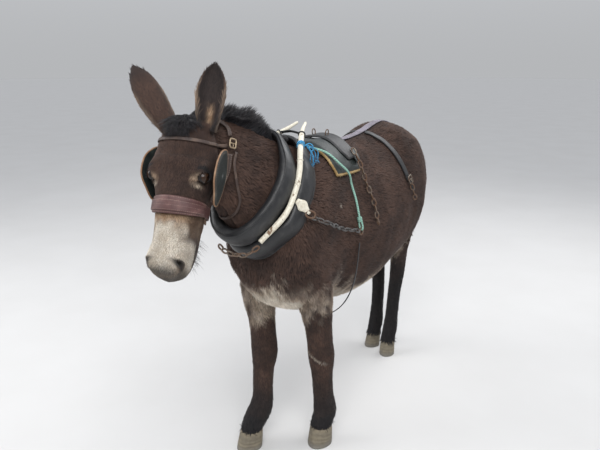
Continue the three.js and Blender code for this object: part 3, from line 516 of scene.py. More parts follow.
# markings, the same for skin and coat
def markings(co, normal, part):
    # pale: 1 where the hair is cream; dark: 1 where it is black, and where shade is painted round the eyes; tan: 1
    # where it is fawn
    places = headPlaces(co)
    d, o = places.T[:2]
    x, y, z = (co * 1000 - middleShift).T
    onFace = np.isin(part, [partNumber["head"], partNumber["muzzle"]])
    onEar = np.isin(part, [partNumber["ear_left"], partNumber["ear_right"]])
    onLeg = np.isin(part, [partNumber[n] for n in ("foreleg_left", "foreleg_right", "hindleg_left", "hindleg_right")])
    soft = wobble(co, 0.05, 11)
    fine = wobble(co, 0.018, 12)
    pale = eased(290, 322, d + 7 * soft + 7 * fine + 0.10 * (o + 60)) * onFace
    # the sides of the nose stay brown down to the corner of the mouth: partly the hair's own colour, partly painted
    # shade on the muzzle's sides
    cheek = eased(-48, -20, o + 6 * soft + 6 * fine)
    corner = 0.9 * eased(338, 370, d + 0.3 * (o + 70) + 6 * soft + 5 * fine) * eased(-97, -85, o)
    pale *= 0.03 + 0.97 * np.maximum(cheek, corner)
    # a pale edge along the upper lip, and a grey-brown jaw
    lipEdge = bell(o + 90 - 0.10 * (d - 400), 6.0) * eased(338, 362, d) * onFace
    pale = np.maximum(pale, 0.85 * lipEdge)
    tan = eased(250, 266, d + 6 * soft) * (1 - eased(312, 350, d + 8 * fine)) * onFace * 0.9
    tan = np.maximum(tan * (0.35 + 0.65 * cheek), 0.28 * (1 - cheek) * cheek * 4 * eased(285, 320, d) * onFace)
    dark = np.zeros(len(co))
    for side in (1, -1):
        _, away, almond, u, v, ahead = eyeField(places, side)
        # fawn hair in front of the eye and a pale streak below it
        near = (ahead > -25) & (away < 60) & onFace
        front = bell(u - 0.55 + 0.15 * fine, 0.62, v - 3.3 + 0.3 * soft, 1.15) * near
        streak = bell(u - 1.5, 0.30, v - 0.2 + 0.3 * fine, 2.2) * near
        tan = np.maximum(tan, np.maximum(0.72 * front, 0.6 * streak))
        pale = np.maximum(pale, np.maximum(0.12 * front, 0.5 * streak))
        lids = (1 - eased(1.2, 2.3, almond)) * (ahead > 0) * near
        dark = np.maximum(dark, lids * (1 - 0.7 * streak))
        # painted shade from the brow over the upper lid and round the eye
        dark = np.maximum(dark, 0.5 * bell(u + 0.1, 1.5, v - 1.6, 2.2) * near * (1 - front))
        _, _, nostril, front = nostrilField(places, side)
        near = (1 - eased(0.9, 2.1, nostril)) * (front > -24) * onFace
        dark = np.maximum(dark, near * 0.9)
        pale *= 1 - 0.85 * near
    lips = eased(412, 446, d + 0.10 * (o + 70) + 5 * soft) * onFace
    lipLine = bell(o + 97 - 0.10 * (d - 400), 5.5) * eased(350, 372, d) * onFace
    dark = np.maximum(dark, np.maximum(0.72 * lips, 0.7 * lipLine))
    pale = pale * (1 - 0.75 * lips) * (1 - 0.6 * lipLine)
    jaw = eased(-104, -112, o) * eased(360, 385, d) * onFace
    pale = np.maximum(pale * (1 - 0.8 * jaw), 0.22 * jaw * (1 - 0.5 * lips))
    dark = np.maximum(dark, 0.45 * jaw)
    # under the body, between the forelegs and inside the thighs
    under = eased(0.42, 0.92, -normal[:, 2] + 0.10 * soft + 0.07 * fine) * eased(700, 600, z) * ~onFace * ~onEar
    ragged = z + 26 * soft + 24 * fine + 16 * wobble(co, 0.009, 13)
    breastPale = (1 - eased(600, 700, ragged + 0.16 * np.abs(x))) * eased(-400, -470, y) * eased(128, 78, np.abs(x))
    breastPale = breastPale * eased(480, 560, ragged + 0.3 * (60 - x) * (y < -300))
    inner = eased(0.35, 0.8, -normal[:, 0] * np.sign(x) + 0.2 * soft) * eased(440, 520, ragged) * eased(640, 560, z)
    belly = np.maximum(np.maximum(under * 0.8, breastPale * ~onFace * (1 - 0.62 * onLeg)),
                       inner * (onLeg | (z < 640)) * 0.42)
    # grey-brown over the tops of the forelegs
    mealy = eased(480, 560, ragged + 0.3 * (60 - x)) * eased(690, 620, ragged) * (y < -300) * ~onFace
    belly = np.maximum(belly, mealy * (0.20 + 0.12 * fine))
    pale = np.maximum(pale, belly * (1 - onLeg * (1 - eased(400, 500, z))))
    tan = np.maximum(tan, 0.45 * eased(0.05, 0.4, belly) * (1 - eased(0.4, 0.9, belly)))
    # black lower legs, back of the ears' tips and a line down the spine
    hind = y > 100
    stocking = 1 - eased(np.where(hind, 300, 140), np.where(hind, 640, 330), z + 25 * soft)
    dark = np.maximum(dark, stocking * (z < 640) * np.where(hind, 0.9, 0.72))
    dark = np.maximum(dark, 1 - eased(112, 156, z + 10 * soft))
    scar = bell(z - 366 + 0.55 * (x - 112), 3.2) * eased(70, 82, x) * eased(160, 140, x) * (y < -380)
    pale = np.maximum(pale, 0.65 * scar * (np.abs(y + 430) < 60))
    spot = bell(y + 330, 5, z - 905, 6) * (x > 60)
    pale = np.maximum(pale, 0.45 * spot)
    dark *= 1 - np.clip(scar, 0, 1)
    spine = bell(x, 16) * eased(0.5, 0.8, normal[:, 2]) * (y > -380)
    dark = np.maximum(dark, 0.6 * spine)
    # ears: dark inside with fawn hair low down, a pale fringe on the rim
    for name in ("ear_left", "ear_right"):
        side = part == partNumber[name]
        height, across, half, facing = earField(name, co, normal)
        inside = eased(0.0, 0.5, facing) * (1 - eased(0.72, 0.95, np.abs(across) / half)) * side
        dark = np.maximum(dark, inside * 0.62)
        strip = bell(across - 3, 8.5) * (1 - eased(62, 88, height + 14 * soft)) * eased(8, 22, height)
        tan = np.maximum(tan, inside * strip)
        dark = dark * (1 - 0.9 * inside * strip)
        dark = np.maximum(dark, side * eased(150, 205, height) * 0.45)
        rim = eased(0.74, 0.95, np.abs(across) / half) * side * (1 - eased(100, 170, height))
        tan = np.maximum(tan, (0.34 + 0.25 * fine) * rim)
        pale = np.maximum(pale, 0.10 * rim)
    return np.clip(pale, 0, 1), np.clip(dark, 0, 1), np.clip(tan, 0, 1)


def earField(name, co, normal):
    # height up the ear and place across it in millimetres, half its width there, and how far it faces its opening
    base, way, opening = earFrame(name)
    height = (co - base) @ way * 1000
    across = (co - base) @ np.cross(way, opening) * 1000
    t = np.clip(height / earSetup[name]["tall"], 0, 1)
    half = earSetup["halfWide"] * np.where(t < 0.55, 0.66 + 0.34 * np.sin(np.pi * t / 1.1),
                                           np.maximum(1 - ((t - 0.55) / 0.46) ** 2, 0.02) ** 0.6)
    return height, across, half, normal @ opening


def addNumbers(mesh, name, values):
    mesh.attributes.new(name, "FLOAT", "POINT").data.foreach_set("value", np.asarray(values, np.float32))


skinNormals = normals(skinMesh)
skinPoints = points(skinMesh)
skinMarks = markings(skinPoints, skinNormals, partOf)
for name, values in zip(("pale", "dark", "tan"), skinMarks):
    addNumbers(skinMesh, name, values)
addNumbers(skinMesh, "tone", np.full(len(skinPoints), 0.35))
addNumbers(skinMesh, "tip", np.zeros(len(skinPoints)))


# coat: tufts of hair over the skin
# spacing, length and width are in millimetres, as they are on the trunk, legs, face, muzzle and ears
coatSetup = {
    "trunk": {"spacing": 4.6, "long": 21, "wide": 3.3},
    "neck": {"spacing": 4.2, "long": 19, "wide": 3.0},
    "head": {"spacing": 2.9, "long": 9.5, "wide": 1.7},
    "muzzle": {"spacing": 2.5, "long": 5.0, "wide": 1.1},
    "ear": {"spacing": 3.2, "long": 9, "wide": 1.7},
    "leg": {"spacing": 3.6, "long": 12, "wide": 2.2},
    "tail": {"spacing": 3.8, "long": 22, "wide": 2.8},
    "most": 190000,     # triangles in one piece
}


def coatSettings(index):
    name = skinSetup["parts"][index].split("_")[0]
    name = {"foreleg": "leg", "hindleg": "leg"}.get(name, name)
    return coatSetup[name]


def vertexGrowth():
    rows = np.array([[coatSettings(i)[k] for k in ("spacing", "long", "wide")] for i in range(len(skinSetup["parts"]))])
    grown = softened(rows[partOf], 6)
    z = body[:, 2]
    feather = isLeg * (1 - eased(128, 165, z)) * (z > 60)
    backOfLeg = eased(-0.1, 0.8, surfaceNormals[:, 1])
    grown[:, 1] += 26 * feather * (0.40 + 0.60 * backOfLeg)
    grown[:, 2] += 0.8 * feather
    for name in ("ear_left", "ear_right"):
        height, across, half, facing = earField(name, surfacePoints, surfaceNormals)
        rim = inParts(name) * eased(0.70, 0.95, np.abs(across) / half)
        low = 1 - eased(40, 190, height)
        grown[:, 1] += rim * (2 + 13 * low) + inParts(name) * eased(0, 0.5, facing) * (2 + 9 * low)
    belly = eased(0.3, 0.8, -surfaceNormals[:, 2]) * (z > 440) * ~isHead * ~isEar
    grown[:, 1] += 12 * belly
    jaw = isHead * eased(-110, -150, head[:, 1]) * (head[:, 0] < 330)
    grown[:, 1] += 7 * jaw
    brow = isHead * (1 - eased(30, 110, head[:, 0])) * eased(-90, -40, head[:, 1])
    grown[:, 1] += 9 * brow
    chest = inParts("trunk") * (1 - eased(560, 700, z)) * (1 - eased(-480, -400, body[:, 1]))
    grown[:, 1] += 12 * chest
    return grown


growth = vertexGrowth()
lieOnSkin = tangent(hairLie, skinNormals)


def hairless():
    # no hair in the eyes' opening or inside the nostrils, or on the soles' end of the legs
    bare = np.zeros(len(skinPoints))
    for side in (1, -1):
        _, away, almond, _, _, ahead = eyeField(head, side)
        bare = np.maximum(bare, (almond < 1.12) * (ahead > 0) * (away < 60))
        _, _, ring, front = nostrilField(head, side)
        bare = np.maximum(bare, (ring < 0.95) * (front > -26))
    return np.maximum(bare, body[:, 2] < 67)


def tuftRoots():
    corners = triangles(skinMesh)
    a, b, c = (skinPoints[corners[:, i]] for i in range(3))
    area = np.linalg.norm(np.cross(b - a, c - a), axis=1) / 2
    spacing = growth[corners, 0].mean(1) / 1000
    wanted = area / spacing ** 2 * (hairless()[corners].max(1) == 0)
    total = int(wanted.sum())
    chosen = np.searchsorted(np.cumsum(wanted), (np.arange(total) + rng.random(total)) * wanted.sum() / total)
    chosen = np.clip(chosen, 0, len(corners) - 1)
    u, v = rng.random((2, total))
    flip = u + v > 1
    u[flip], v[flip] = 1 - u[flip], 1 - v[flip]
    return corners[chosen], np.stack([1 - u - v, u, v], 1), chosen


def mixed(values, corners, shares):
    return np.einsum("nk,nk...->n...", shares, values[corners])


def tuftPatches(chosen, shares):
    # each root's place on the skin's unwrap
    loops = readAll(skinMesh.loop_triangles, "loops", np.int32)
    flat = readAll(skinMesh.uv_layers["OFBake"].data, "uv", width=2)
    return np.einsum("nk,nkj->nj", shares, flat[loops[chosen]])


def growTufts(root, out, lie, long, wide, rise, bow):
    # seven points a tuft: a ridged root, a ridged middle and the tip
    across = np.cross(out, lie)
    w = (across * wide[:, None] / 2)
    ridge = out * wide[:, None] * 0.22
    mid = root + lie * (long * 0.5)[:, None] + out * (rise * bow)[:, None]
    tip = root + lie * (long * 0.98)[:, None] + out * rise[:, None]
    sink = out * 0.0006
    rows = [root - w - sink, root + ridge, root + w - sink, mid - w * 0.72, mid + ridge, mid + w * 0.72, tip]
    return np.stack(rows, 1)


tuftFaces = np.array([[0, 1, 3], [1, 4, 3], [1, 2, 4], [2, 5, 4], [3, 4, 6], [4, 5, 6]])
tuftUv = np.array([[-1, -1], [0, -1], [1, -1], [-0.7, 0.1], [0, 0.1], [0.7, 0.1], [0, 1]]) * 0.0015
tuftTip = np.array([0, 0, 0, 0.5, 0.5, 0.5, 1.0])


def tuftPiece(name, tufts, patches, numbers, finish):
    count = len(tufts)
    faces = (tuftFaces[None] + np.arange(count)[:, None, None] * 7).reshape(-1, 3)
    piece = meshObject(name, tufts.reshape(-1, 3), faces, finish)
    loops = faces.ravel()
    uv = (patches[:, None] + tuftUv[None]).reshape(-1, 2)
    piece.data.uv_layers.new(name="OFBake").data.foreach_set("uv", uv[loops].astype(np.float32).ravel())
    for key, values in numbers.items():
        addNumbers(piece.data, key, np.repeat(values, 7))
    addNumbers(piece.data, "tip", np.tile(tuftTip, count))
    return place(piece, slot="coat")


def growCoat(finish):
    corners, shares, chosen = tuftRoots()
    root = mixed(skinPoints, corners, shares)
    out = unit(mixed(skinNormals, corners, shares))
    lie = tangent(mixed(lieOnSkin, corners, shares), out)
    long, wide = mixed(growth[:, 1:], corners, shares).T / 1000
    depth = mixed(coatDepth, corners, shares) / 1000
    part = partOf[corners[:, 0]]
    count = len(root)
    sway = 0.30 * wobble(root, 0.035, 21) + 0.16 * wobble(root, 0.012, 22) + rng.normal(0, 0.13, count)
    lie = unit(lie + np.cross(out, lie) * sway[:, None])
    long = long * rng.uniform(0.72, 1.2, count) * (1 + 0.18 * wobble(root, 0.03, 23))
    rise = depth * rng.uniform(0.7, 1.12, count) * (1 + 0.16 * wobble(root, 0.02, 24))
    wide = wide * rng.uniform(0.7, 1.25, count)
    pale, dark, tan = markings(root, out, part)
    tufts = growTufts(root, out, lie, long, wide, rise, 0.72)
    patches = tuftPatches(chosen, shares)
    tone = np.clip(0.5 + 0.22 * wobble(root, 0.02, 25) + rng.normal(0, 0.2, count), 0, 1)
    numbers = {"pale": pale, "dark": dark, "tan": tan, "tone": tone}
    order = np.lexsort((root[:, 1], part))
    size = coatSetup["most"] // len(tuftFaces)
    pieces = math.ceil(count / size)
    for i, rows in enumerate(np.array_split(order, pieces)):
        tuftPiece(f"coat_{i + 1}", tufts[rows], patches[rows], {k: v[rows] for k, v in numbers.items()}, finish)
    print("coat", count, "tufts in", pieces, "pieces")


# finishes
class Shade:
    # Wraps a node's output, so that finishes read as sums: an expression on values adds its Math nodes.
    def __init__(self, tree, socket):
        self.tree, self.socket = tree, socket

    def node(self, kind, settings=None, values=None, out=0):
        made = self.tree.nodes.new("ShaderNode" + kind)
        for name, value in (settings or {}).items():
            if name == "stops":
                ramp = made.color_ramp.elements
                while len(ramp) < len(value):
                    ramp.new(0.5)
                for stop, (at, colour) in zip(ramp, value):
                    stop.position = at
                    stop.color = (*colour, 1)
            else:
                setattr(made, name, value)
        for name, value in (values or {}).items():
            if isinstance(value, Shade):
                self.tree.links.new(value.socket, made.inputs[name])
            elif value is not None:
                made.inputs[name].default_value = value
        return Shade(self.tree, made.outputs[out])

    def maths(self, operation, *values):
        return self.node("Math", {"operation": operation}, dict(enumerate(values or (self,))))

    def __add__(self, other):
        return self.maths("ADD", self, other)

    def __sub__(self, other):
        return self.maths("SUBTRACT", self, other)

    def __rsub__(self, other):
        return self.maths("SUBTRACT", other, self)

    def __mul__(self, other):
        return self.maths("MULTIPLY", self, other)

    __radd__ = __add__
    __rmul__ = __mul__

    def clipped(self, low, high):
        # 0 below low, 1 above high
        return self.node("MapRange", {"interpolation_type": "SMOOTHSTEP"}, {0: self, 1: low, 2: high, 3: 0.0, 4: 1.0})

    def tinted(self, factor, other):
        # this colour turned into the other by the factor
        other = (*other, 1) if isinstance(other, tuple) else other
        return self.node("Mix", {"data_type": "RGBA"}, {0: factor, 6: self, 7: other}, 2)

    def darkened(self, amount):
        # this colour times a value
        spread = self.node("CombineXYZ", None, {0: amount, 1: amount, 2: amount})
        return self.node("VectorMath", {"operation": "MULTIPLY"}, {0: self, 1: spread})


class Finish:
    # One material: its coordinates, noises and the shader they feed.
    def __init__(self, name, **constants):
        self.material = bpy.data.materials.new(name)
        self.material.use_nodes = True
        self.tree = self.material.node_tree
        self.shader = self.tree.nodes["Principled BSDF"]
        for socket, value in constants.items():
            self.shader.inputs[socket.replace("_", " ")].default_value = value
        self.base = Shade(self.tree, None)
        self.where = self.base.node("TexCoord", None, None, "Object")

    def noise(self, scale, detail=3.0, rough=0.55, stretch=None, at=None):
        place = at or self.where
        if stretch:
            place = self.base.node("Mapping", None, {"Vector": place, "Scale": stretch})
        return self.base.node("TexNoise", None, {"Vector": place, "Scale": scale, "Detail": detail, "Roughness": rough})

    def number(self, name):
        return self.base.node("Attribute", {"attribute_name": name}, None, "Fac")

    def colour(self, rgb):
        return self.base.node("Mix", {"data_type": "RGBA"}, {0: 0.0, 6: (*rgb, 1), 7: (*rgb, 1)}, 2)

    def alongPlace(self):
        # metres along and across a strap, tube or roll
        uv = self.base.node("UVMap", {"uv_map": "along"}, None, 0)
        split = self.base.node("SeparateXYZ", None, {0: uv}, 0)
        node = split.socket.node
        return uv, Shade(self.tree, node.outputs[0]), Shade(self.tree, node.outputs[1])

    def done(self, colour=None, rough=None, metal=None, bump=None, depth=0.001, strength=0.6):
        feeds = {"Base Color": colour, "Roughness": rough, "Metallic": metal}
        if bump is not None:
            feeds["Normal"] = self.base.node("Bump", None, {"Height": bump, "Distance": depth, "Strength": strength})
        for socket, value in feeds.items():
            if value is not None:
                self.tree.links.new(value.socket, self.shader.inputs[socket])
        return self.material


def hairFinish(name, skinShadeUnderCoat):
    hair = Finish(name, Roughness=0.8, Specular_IOR_Level=0.35, Sheen_Weight=0.08, Sheen_Roughness=0.5)
    pale, dark, tan, tone, tip = (hair.number(n) for n in ("pale", "dark", "tan", "tone", "tip"))
    patch = hair.noise(7.0, 3).clipped(0.38, 0.66)
    streak = hair.noise(60.0, 3, stretch=(1, 0.35, 1)).clipped(0.3, 0.75)
    brown = hair.colour((0.030, 0.0165, 0.0125)).tinted(patch, (0.060, 0.033, 0.024))
    brown = brown.tinted(streak * 0.35, (0.085, 0.045, 0.030))
    fawn = hair.colour((0.23, 0.135, 0.075)).tinted(streak, (0.36, 0.25, 0.16))
    cream = hair.colour((0.52, 0.45, 0.36)).tinted(hair.noise(24.0, 3).clipped(0.35, 0.7), (0.70, 0.64, 0.55))
    black = hair.colour((0.0085, 0.0075, 0.0085)).tinted(streak * 0.5, (0.020, 0.016, 0.016))
    colour = brown.tinted(dark, black).tinted(tan, fawn).tinted(pale, cream)
    colour = colour.tinted(dark * dark * 0.9 * (1 - pale), black)
    # tufts painted lighter towards their tips and darker at their roots: painted shade inside the coat; tone is each
    # tuft's own random tone
    shade = 0.55 + tone * 0.62 + tip * 0.38
    # the haired skin is darkened to 0.7 of the coat's colour: painted shade under the tufts
    colour = colour.darkened(shade * skinShadeUnderCoat)
    if name == "hairedSkin":
        return hair.done(colour, bump=hair.noise(900.0, 2, stretch=(1, 0.3, 1)), depth=0.0012)
    return hair.done(colour)


skinFinish = hairFinish("hairedSkin", 0.7)
coatFinish = hairFinish("coatHair", 1.0)
skinMesh.materials.clear()
skinMesh.materials.append(skinFinish)
growCoat(coatFinish)


# shared ways of making harness
def smoothPath(places, count, closed=False):
    # an even run of places on a rounded line through the given ones
    given = np.asarray(places, float)
    if closed:
        given = np.vstack([given[-1], given, given[0], given[1]])
    else:
        given = np.vstack([2 * given[0] - given[1], given, 2 * given[-1] - given[-2]])
    dense = []
    for i in range(1, len(given) - 2):
        a, b, c, d = given[i - 1:i + 3]
        t = np.linspace(0, 1, 24, endpoint=False)[:, None]
        dense.append(0.5 * (2 * b + (c - a) * t + (2 * a - 5 * b + 4 * c - d) * t ** 2
                            + (3 * b - a - 3 * c + d) * t ** 3))
    dense = np.vstack([*dense, given[-2]])
    run = runAlong(dense)
    wanted = np.linspace(0, run[-1], count + (1 if closed else 0))[:count]
    return np.stack([np.interp(wanted, run, dense[:, k]) for k in range(3)], 1)


def runLength(path):
    return float(np.linalg.norm(np.diff(path, axis=0), axis=1).sum())


def heading(path, closed=False):
    if closed:
        return unit(np.roll(path, -1, 0) - np.roll(path, 1, 0))
    return unit(np.gradient(path, axis=0))


def carried(path, first, closed=False):
    # a direction square to the path, carried along it without twisting
    ways = heading(path, closed)
    sides, side = [], np.asarray(first, float)
    for way in ways:
        side = unit(side - way * (side @ way))
        sides.append(side)
    return np.array(sides)


def gridFaces(rings, sides, closedRun, closedRound=True):
    rows = np.arange(rings if closedRun else rings - 1)
    columns = np.arange(sides if closedRound else sides - 1)
    r, s = np.meshgrid(rows, columns, indexing="ij")
    r, s = r.ravel(), s.ravel()
    nr, ns = (r + 1) % rings, (s + 1) % sides
    return np.stack([r * sides + s, r * sides + ns, nr * sides + ns, nr * sides + s], 1)


def joined(parts):
    # several (points, faces, uv) as one; faces are quads, where a triangle repeats its last corner
    spots, faces, uvs, start = [], [], [], 0
    for spot, face, uv in parts:
        spots.append(spot)
        faces.append(face + start)
        uvs.append(uv)
        start += len(spot)
    return np.vstack(spots), np.vstack(faces), np.vstack(uvs)


def cleanObject(name, parts, finish):
    spots, faces, uv = joined(parts)
    lists = [list(dict.fromkeys(face)) for face in faces.tolist()]
    piece = meshObject(name, spots, [f for f in lists if len(f) > 2], finish, uv)
    bm = bmesh.new()
    bm.from_mesh(piece.data)
    bmesh.ops.recalc_face_normals(bm, faces=bm.faces)
    bm.to_mesh(piece.data)
    bm.free()
    return piece


def swept(path, side, out, section, closed=False, scale=None):
    # a section, given as (across, out) in millimetres, carried along a path
    path = np.asarray(path)
    section = np.asarray(section, float) / 1000
    scale = np.ones((len(path), 2)) if scale is None else np.asarray(scale)
    across = side[:, None] * (section[None, :, 0] * scale[:, :1])[..., None]
    outward = out[:, None] * (section[None, :, 1] * scale[:, 1:])[..., None]
    spots = path[:, None] + across + outward
    faces = gridFaces(len(path), len(section), closed)
    run = runAlong(path)
    girth = runAlong(section)
    uv = np.stack(np.meshgrid(run, girth, indexing="ij"), 2)
    spots, uv = spots.reshape(-1, 3), uv.reshape(-1, 2)
    if not closed:
        count = len(section)
        ends = np.stack([spots[:count].mean(0), spots[-count:].mean(0)])
        last = len(spots)
        ring = np.arange(count)
        first = np.stack([np.full(count, last), (ring + 1) % count, ring, ring], 1)
        base = (len(path) - 1) * count
        second = np.stack([np.full(count, last + 1), base + ring, base + (ring + 1) % count,
                           base + (ring + 1) % count], 1)
        spots = np.vstack([spots, ends])
        uv = np.vstack([uv, [[0, 0], [run[-1], 0]]])
        faces = np.vstack([faces, first, second])
    return spots, faces, uv


def roundSection(radius, sides=10, flat=1.0):
    angle = np.linspace(0, 2 * np.pi, sides, endpoint=False)
    return np.stack([radius * np.cos(angle), radius * flat * np.sin(angle)], 1)


def tube(path, radius, sides=10, closed=False, taper=None):
    # radius in millimetres; taper is how the radius goes along the run
    start = np.array([0.31, 0.2, 0.93])
    side = carried(path, start, closed)
    out = np.cross(heading(path, closed), side)
    scale = None if taper is None else np.stack([taper, taper], 1)
    return swept(path, side, out, roundSection(radius, sides), closed, scale)


def onCoat(place, stand=0.0):
    # the nearest place on the coat, and the way out of it
    spot, normal = coatTree.find_nearest(Vector(place))[:2]
    normal = np.array(normal)
    return np.array(spot) + normal * stand / 1000, normal


def settled(places, stand=0.0):
    # many places on the coat, and the ways out of it
    found = [onCoat(p, stand) for p in places]
    return np.array([f[0] for f in found]), np.array([f[1] for f in found])


def laidOn(path, stand):
    spots, ways = settled(path, stand)
    for _ in range(3 if len(ways) > 6 else 0):
        ways = unit(ways + 0.5 * np.roll(ways, 1, 0) + 0.5 * np.roll(ways, -1, 0))
    return spots, ways


def offCoat(place, stand):
    # a place in millimetres moved to stand off the coat
    return onCoat(metres(place), stand)[0]


def strapSection(width, thick, edge=0.9, steps=7):
    # a strap's section: flat below, a little crowned, with rounded edges
    x = np.linspace(-1, 1, steps)
    crown = thick * (1 - 0.12 * x ** 2)
    top = np.stack([x[::-1] * width / 2, crown], 1)
    top[0, 1] = top[-1, 1] = thick * 0.55
    top = np.insert(top, 1, [width / 2 - edge, thick * 0.86], 0)
    top = np.insert(top, len(top) - 1, [-width / 2 + edge, thick * 0.86], 0)
    low = np.array([[-width / 2, thick * 0.2], [-width / 2 + edge, 0], [width / 2 - edge, 0], [width / 2, thick * 0.2]])
    return np.vstack([top, low])


def laidStrap(path, width, thick, lift):
    # a strap that bends over the coat, both along and across: returns its middle line as well
    path, out = laidOn(path, lift)
    for _ in range(2):
        inner = (np.roll(path, 1, 0) + np.roll(path, -1, 0)) / 2
        inner[0], inner[-1] = path[0], path[-1]
        path = 0.5 * path + 0.5 * inner
    side = unit(np.cross(heading(path), out))
    section = strapSection(width, thick)
    spots, faces, uv = swept(path, side, out, section)
    count = len(section)
    body = spots[:len(path) * count].reshape(len(path), count, 3)
    drop = []
    for i, p in enumerate(path):
        row = []
        for x in (-width / 2, width / 2):
            edgeAt = p + side[i] * x / 1000
            near, _ = onCoat(edgeAt, lift)
            row.append(float(np.clip((near - edgeAt) @ out[i], -0.006, 0.006)))
        drop.append(row)
    drop = np.array(drop)
    x = section[:, 0] / (width / 2)
    share = np.where(x[None] < 0, drop[:, :1], drop[:, 1:]) * (x[None] ** 2)
    body += out[:, None] * share[..., None]
    spots[:len(path) * count] = body.reshape(-1, 3)
    return (spots, faces, uv), path, side, out, drop


def stitchRow(path, side, out, drop, across, halfWidth, height, pitch=0.0062, thread=0.55):
    # a row of stitches: short thread lozenges that sink in at both ends
    run = runAlong(path)
    count = max(int(run[-1] / pitch), 2)
    at = (np.arange(count) + 0.5) * pitch
    at = at[at < run[-1]]

    def pick(values, where):
        return np.stack([np.interp(where, run, values[:, k]) for k in range(values.shape[1])], 1)

    x = across / halfWidth
    share = (drop[:, 0] if across < 0 else drop[:, 1])[:, None] * x * x
    line = path + side * across / 1000 + out * (height / 1000 + share)
    half = pitch * 0.36
    ends = [pick(line, at - half), pick(line, at), pick(line, at + half)]
    ways, ups = unit(pick(side, at)), unit(pick(out, at))
    t = thread / 1000
    spots = np.stack([ends[0] - ups * t * 0.6, ends[1] - ways * t, ends[1] + ups * t * 0.8, ends[1] + ways * t,
                      ends[2] - ups * t * 0.6], 1)
    one = np.array([[0, 2, 1, 1], [0, 3, 2, 2], [4, 1, 2, 2], [4, 2, 3, 3]])
    faces = (one[None] + np.arange(len(at))[:, None, None] * 5).reshape(-1, 4)
    return [(spots.reshape(-1, 3), faces, np.zeros((len(at) * 5, 2)))]


def oval(centre, long, wide, halfLong, halfWide, wire, count=28, sides=8, flatness=4.0):
    # a ring or link of wire, in millimetres; a higher flatness makes straighter sides
    long, wide = unit(long), unit(wide)
    angle = np.linspace(0, 2 * np.pi, count, endpoint=False)
    c, s = np.cos(angle), np.sin(angle)
    k = 2 / flatness
    u = np.sign(c) * np.abs(c) ** k * (halfLong - wire)
    v = np.sign(s) * np.abs(s) ** k * (halfWide - wire)
    path = centre + (np.outer(u, long) + np.outer(v, wide)) / 1000
    normal = unit(np.cross(long, wide))
    out = np.tile(normal, (count, 1))
    side = unit(np.cross(heading(path, True), out))
    return swept(path, side, out, roundSection(wire, sides), True)


def ringRound(line, i, radius, wire, count=26, sides=6):
    # a wire ring round the place i of a tube's line
    way = heading(line)[i]
    first = unit(np.cross(way, [0, 0, 1.0]))
    return oval(line[i], first, np.cross(way, first), radius, radius, wire, count, sides, 2)


def chainLinks(places, outward, pitch=26, halfWide=9.5, wire=3.1, seed=1):
    # true open links, each turned a quarter from the last
    path = smoothPath(places, 400)
    long = runLength(path)
    count = max(int(round(long * 1000 / pitch)), 2)
    mixer = np.random.default_rng(seed)
    step = long * 1000 / count
    centres = smoothPath(places, 2 * count + 1)
    ways = heading(centres)
    parts = []
    for i in range(count):
        at, way = centres[2 * i + 1], ways[2 * i + 1]
        side = unit(np.cross(way, outward))
        up = np.cross(side, way)
        lean = math.radians(42 if i % 2 else -48) + mixer.normal(0, 0.12)
        wide = side * math.cos(lean) + up * math.sin(lean)
        parts.append(oval(at, way, wide, step / 2 + wire * 0.95, halfWide, wire, 22, 7, 2.6))
    return parts


# harness finishes
def blackLeather(name="blackLeather", base=(0.016, 0.0165, 0.018), worn=(0.060, 0.055, 0.050), rough=0.42):
    hide = Finish(name, Specular_IOR_Level=0.5)
    grain = hide.noise(620.0, 3, at=hide.where)
    crease = hide.noise(36.0, 4, stretch=(1, 1, 0.5))
    wear = hide.noise(11.0, 5, 0.6).clipped(0.52, 0.74)
    colour = hide.colour(base).tinted(wear * 0.55, worn)
    colour = colour.tinted(crease.clipped(0.55, 0.8) * 0.35, (0.10, 0.095, 0.09))
    roughness = rough + wear * 0.22 + grain * 0.12
    return hide.done(colour, roughness, bump=grain * 0.5 + crease * 1.4, depth=0.0013, strength=0.55)


def stitchedLeather(name, base, high, rough=0.5):
    hide = Finish(name, Specular_IOR_Level=0.45)
    grain = hide.noise(560.0, 3)
    wear = hide.noise(26.0, 4, 0.6).clipped(0.45, 0.75)
    colour = hide.colour(base).tinted(wear, high)
    colour = colour.darkened(0.8 + hide.noise(140.0, 2) * 0.4)
    return hide.done(colour, rough + wear * 0.15, bump=grain + hide.noise(60.0, 3) * 1.2, depth=0.0009, strength=0.6)


def wornSteel(name, base, rusted, bright, share):
    # share: how much of the surface is rusted
    steel = Finish(name)
    rust = steel.noise(38.0, 5, 0.65).clipped(0.62 - 0.3 * share, 0.84 - 0.3 * share)
    fine = steel.noise(420.0, 3)
    colour = steel.colour(base).tinted(rust, rusted)
    colour = colour.tinted(fine.clipped(0.6, 0.8) * 0.6, bright)
    return steel.done(colour, 0.42 + rust * 0.4, 0.85 - rust * 0.75, bump=fine + rust * 0.8, depth=0.0006)


def chippedPaint():
    paint = Finish("chippedCream", Specular_IOR_Level=0.5)
    height = paint.base.node("SeparateXYZ", None, {0: paint.where}, 2)
    low = 1 - height.clipped(0.80, 1.06)
    chips = paint.noise(40.0, 6, 0.62, stretch=(1, 1, 0.5))
    bare = (chips + low * 0.085).clipped(0.635, 0.67)
    grime = paint.noise(130.0, 4).clipped(0.42, 0.72)
    colour = paint.colour((0.70, 0.66, 0.55)).tinted(grime * (0.35 + low * 0.4), (0.40, 0.32, 0.22))
    colour = colour.tinted(bare, (0.14, 0.080, 0.045)).tinted(bare * 0.6, (0.22, 0.14, 0.085))
    return paint.done(colour, 0.38 + bare * 0.4 + grime * 0.15, bump=1 - bare + grime * 0.2, depth=0.0008)


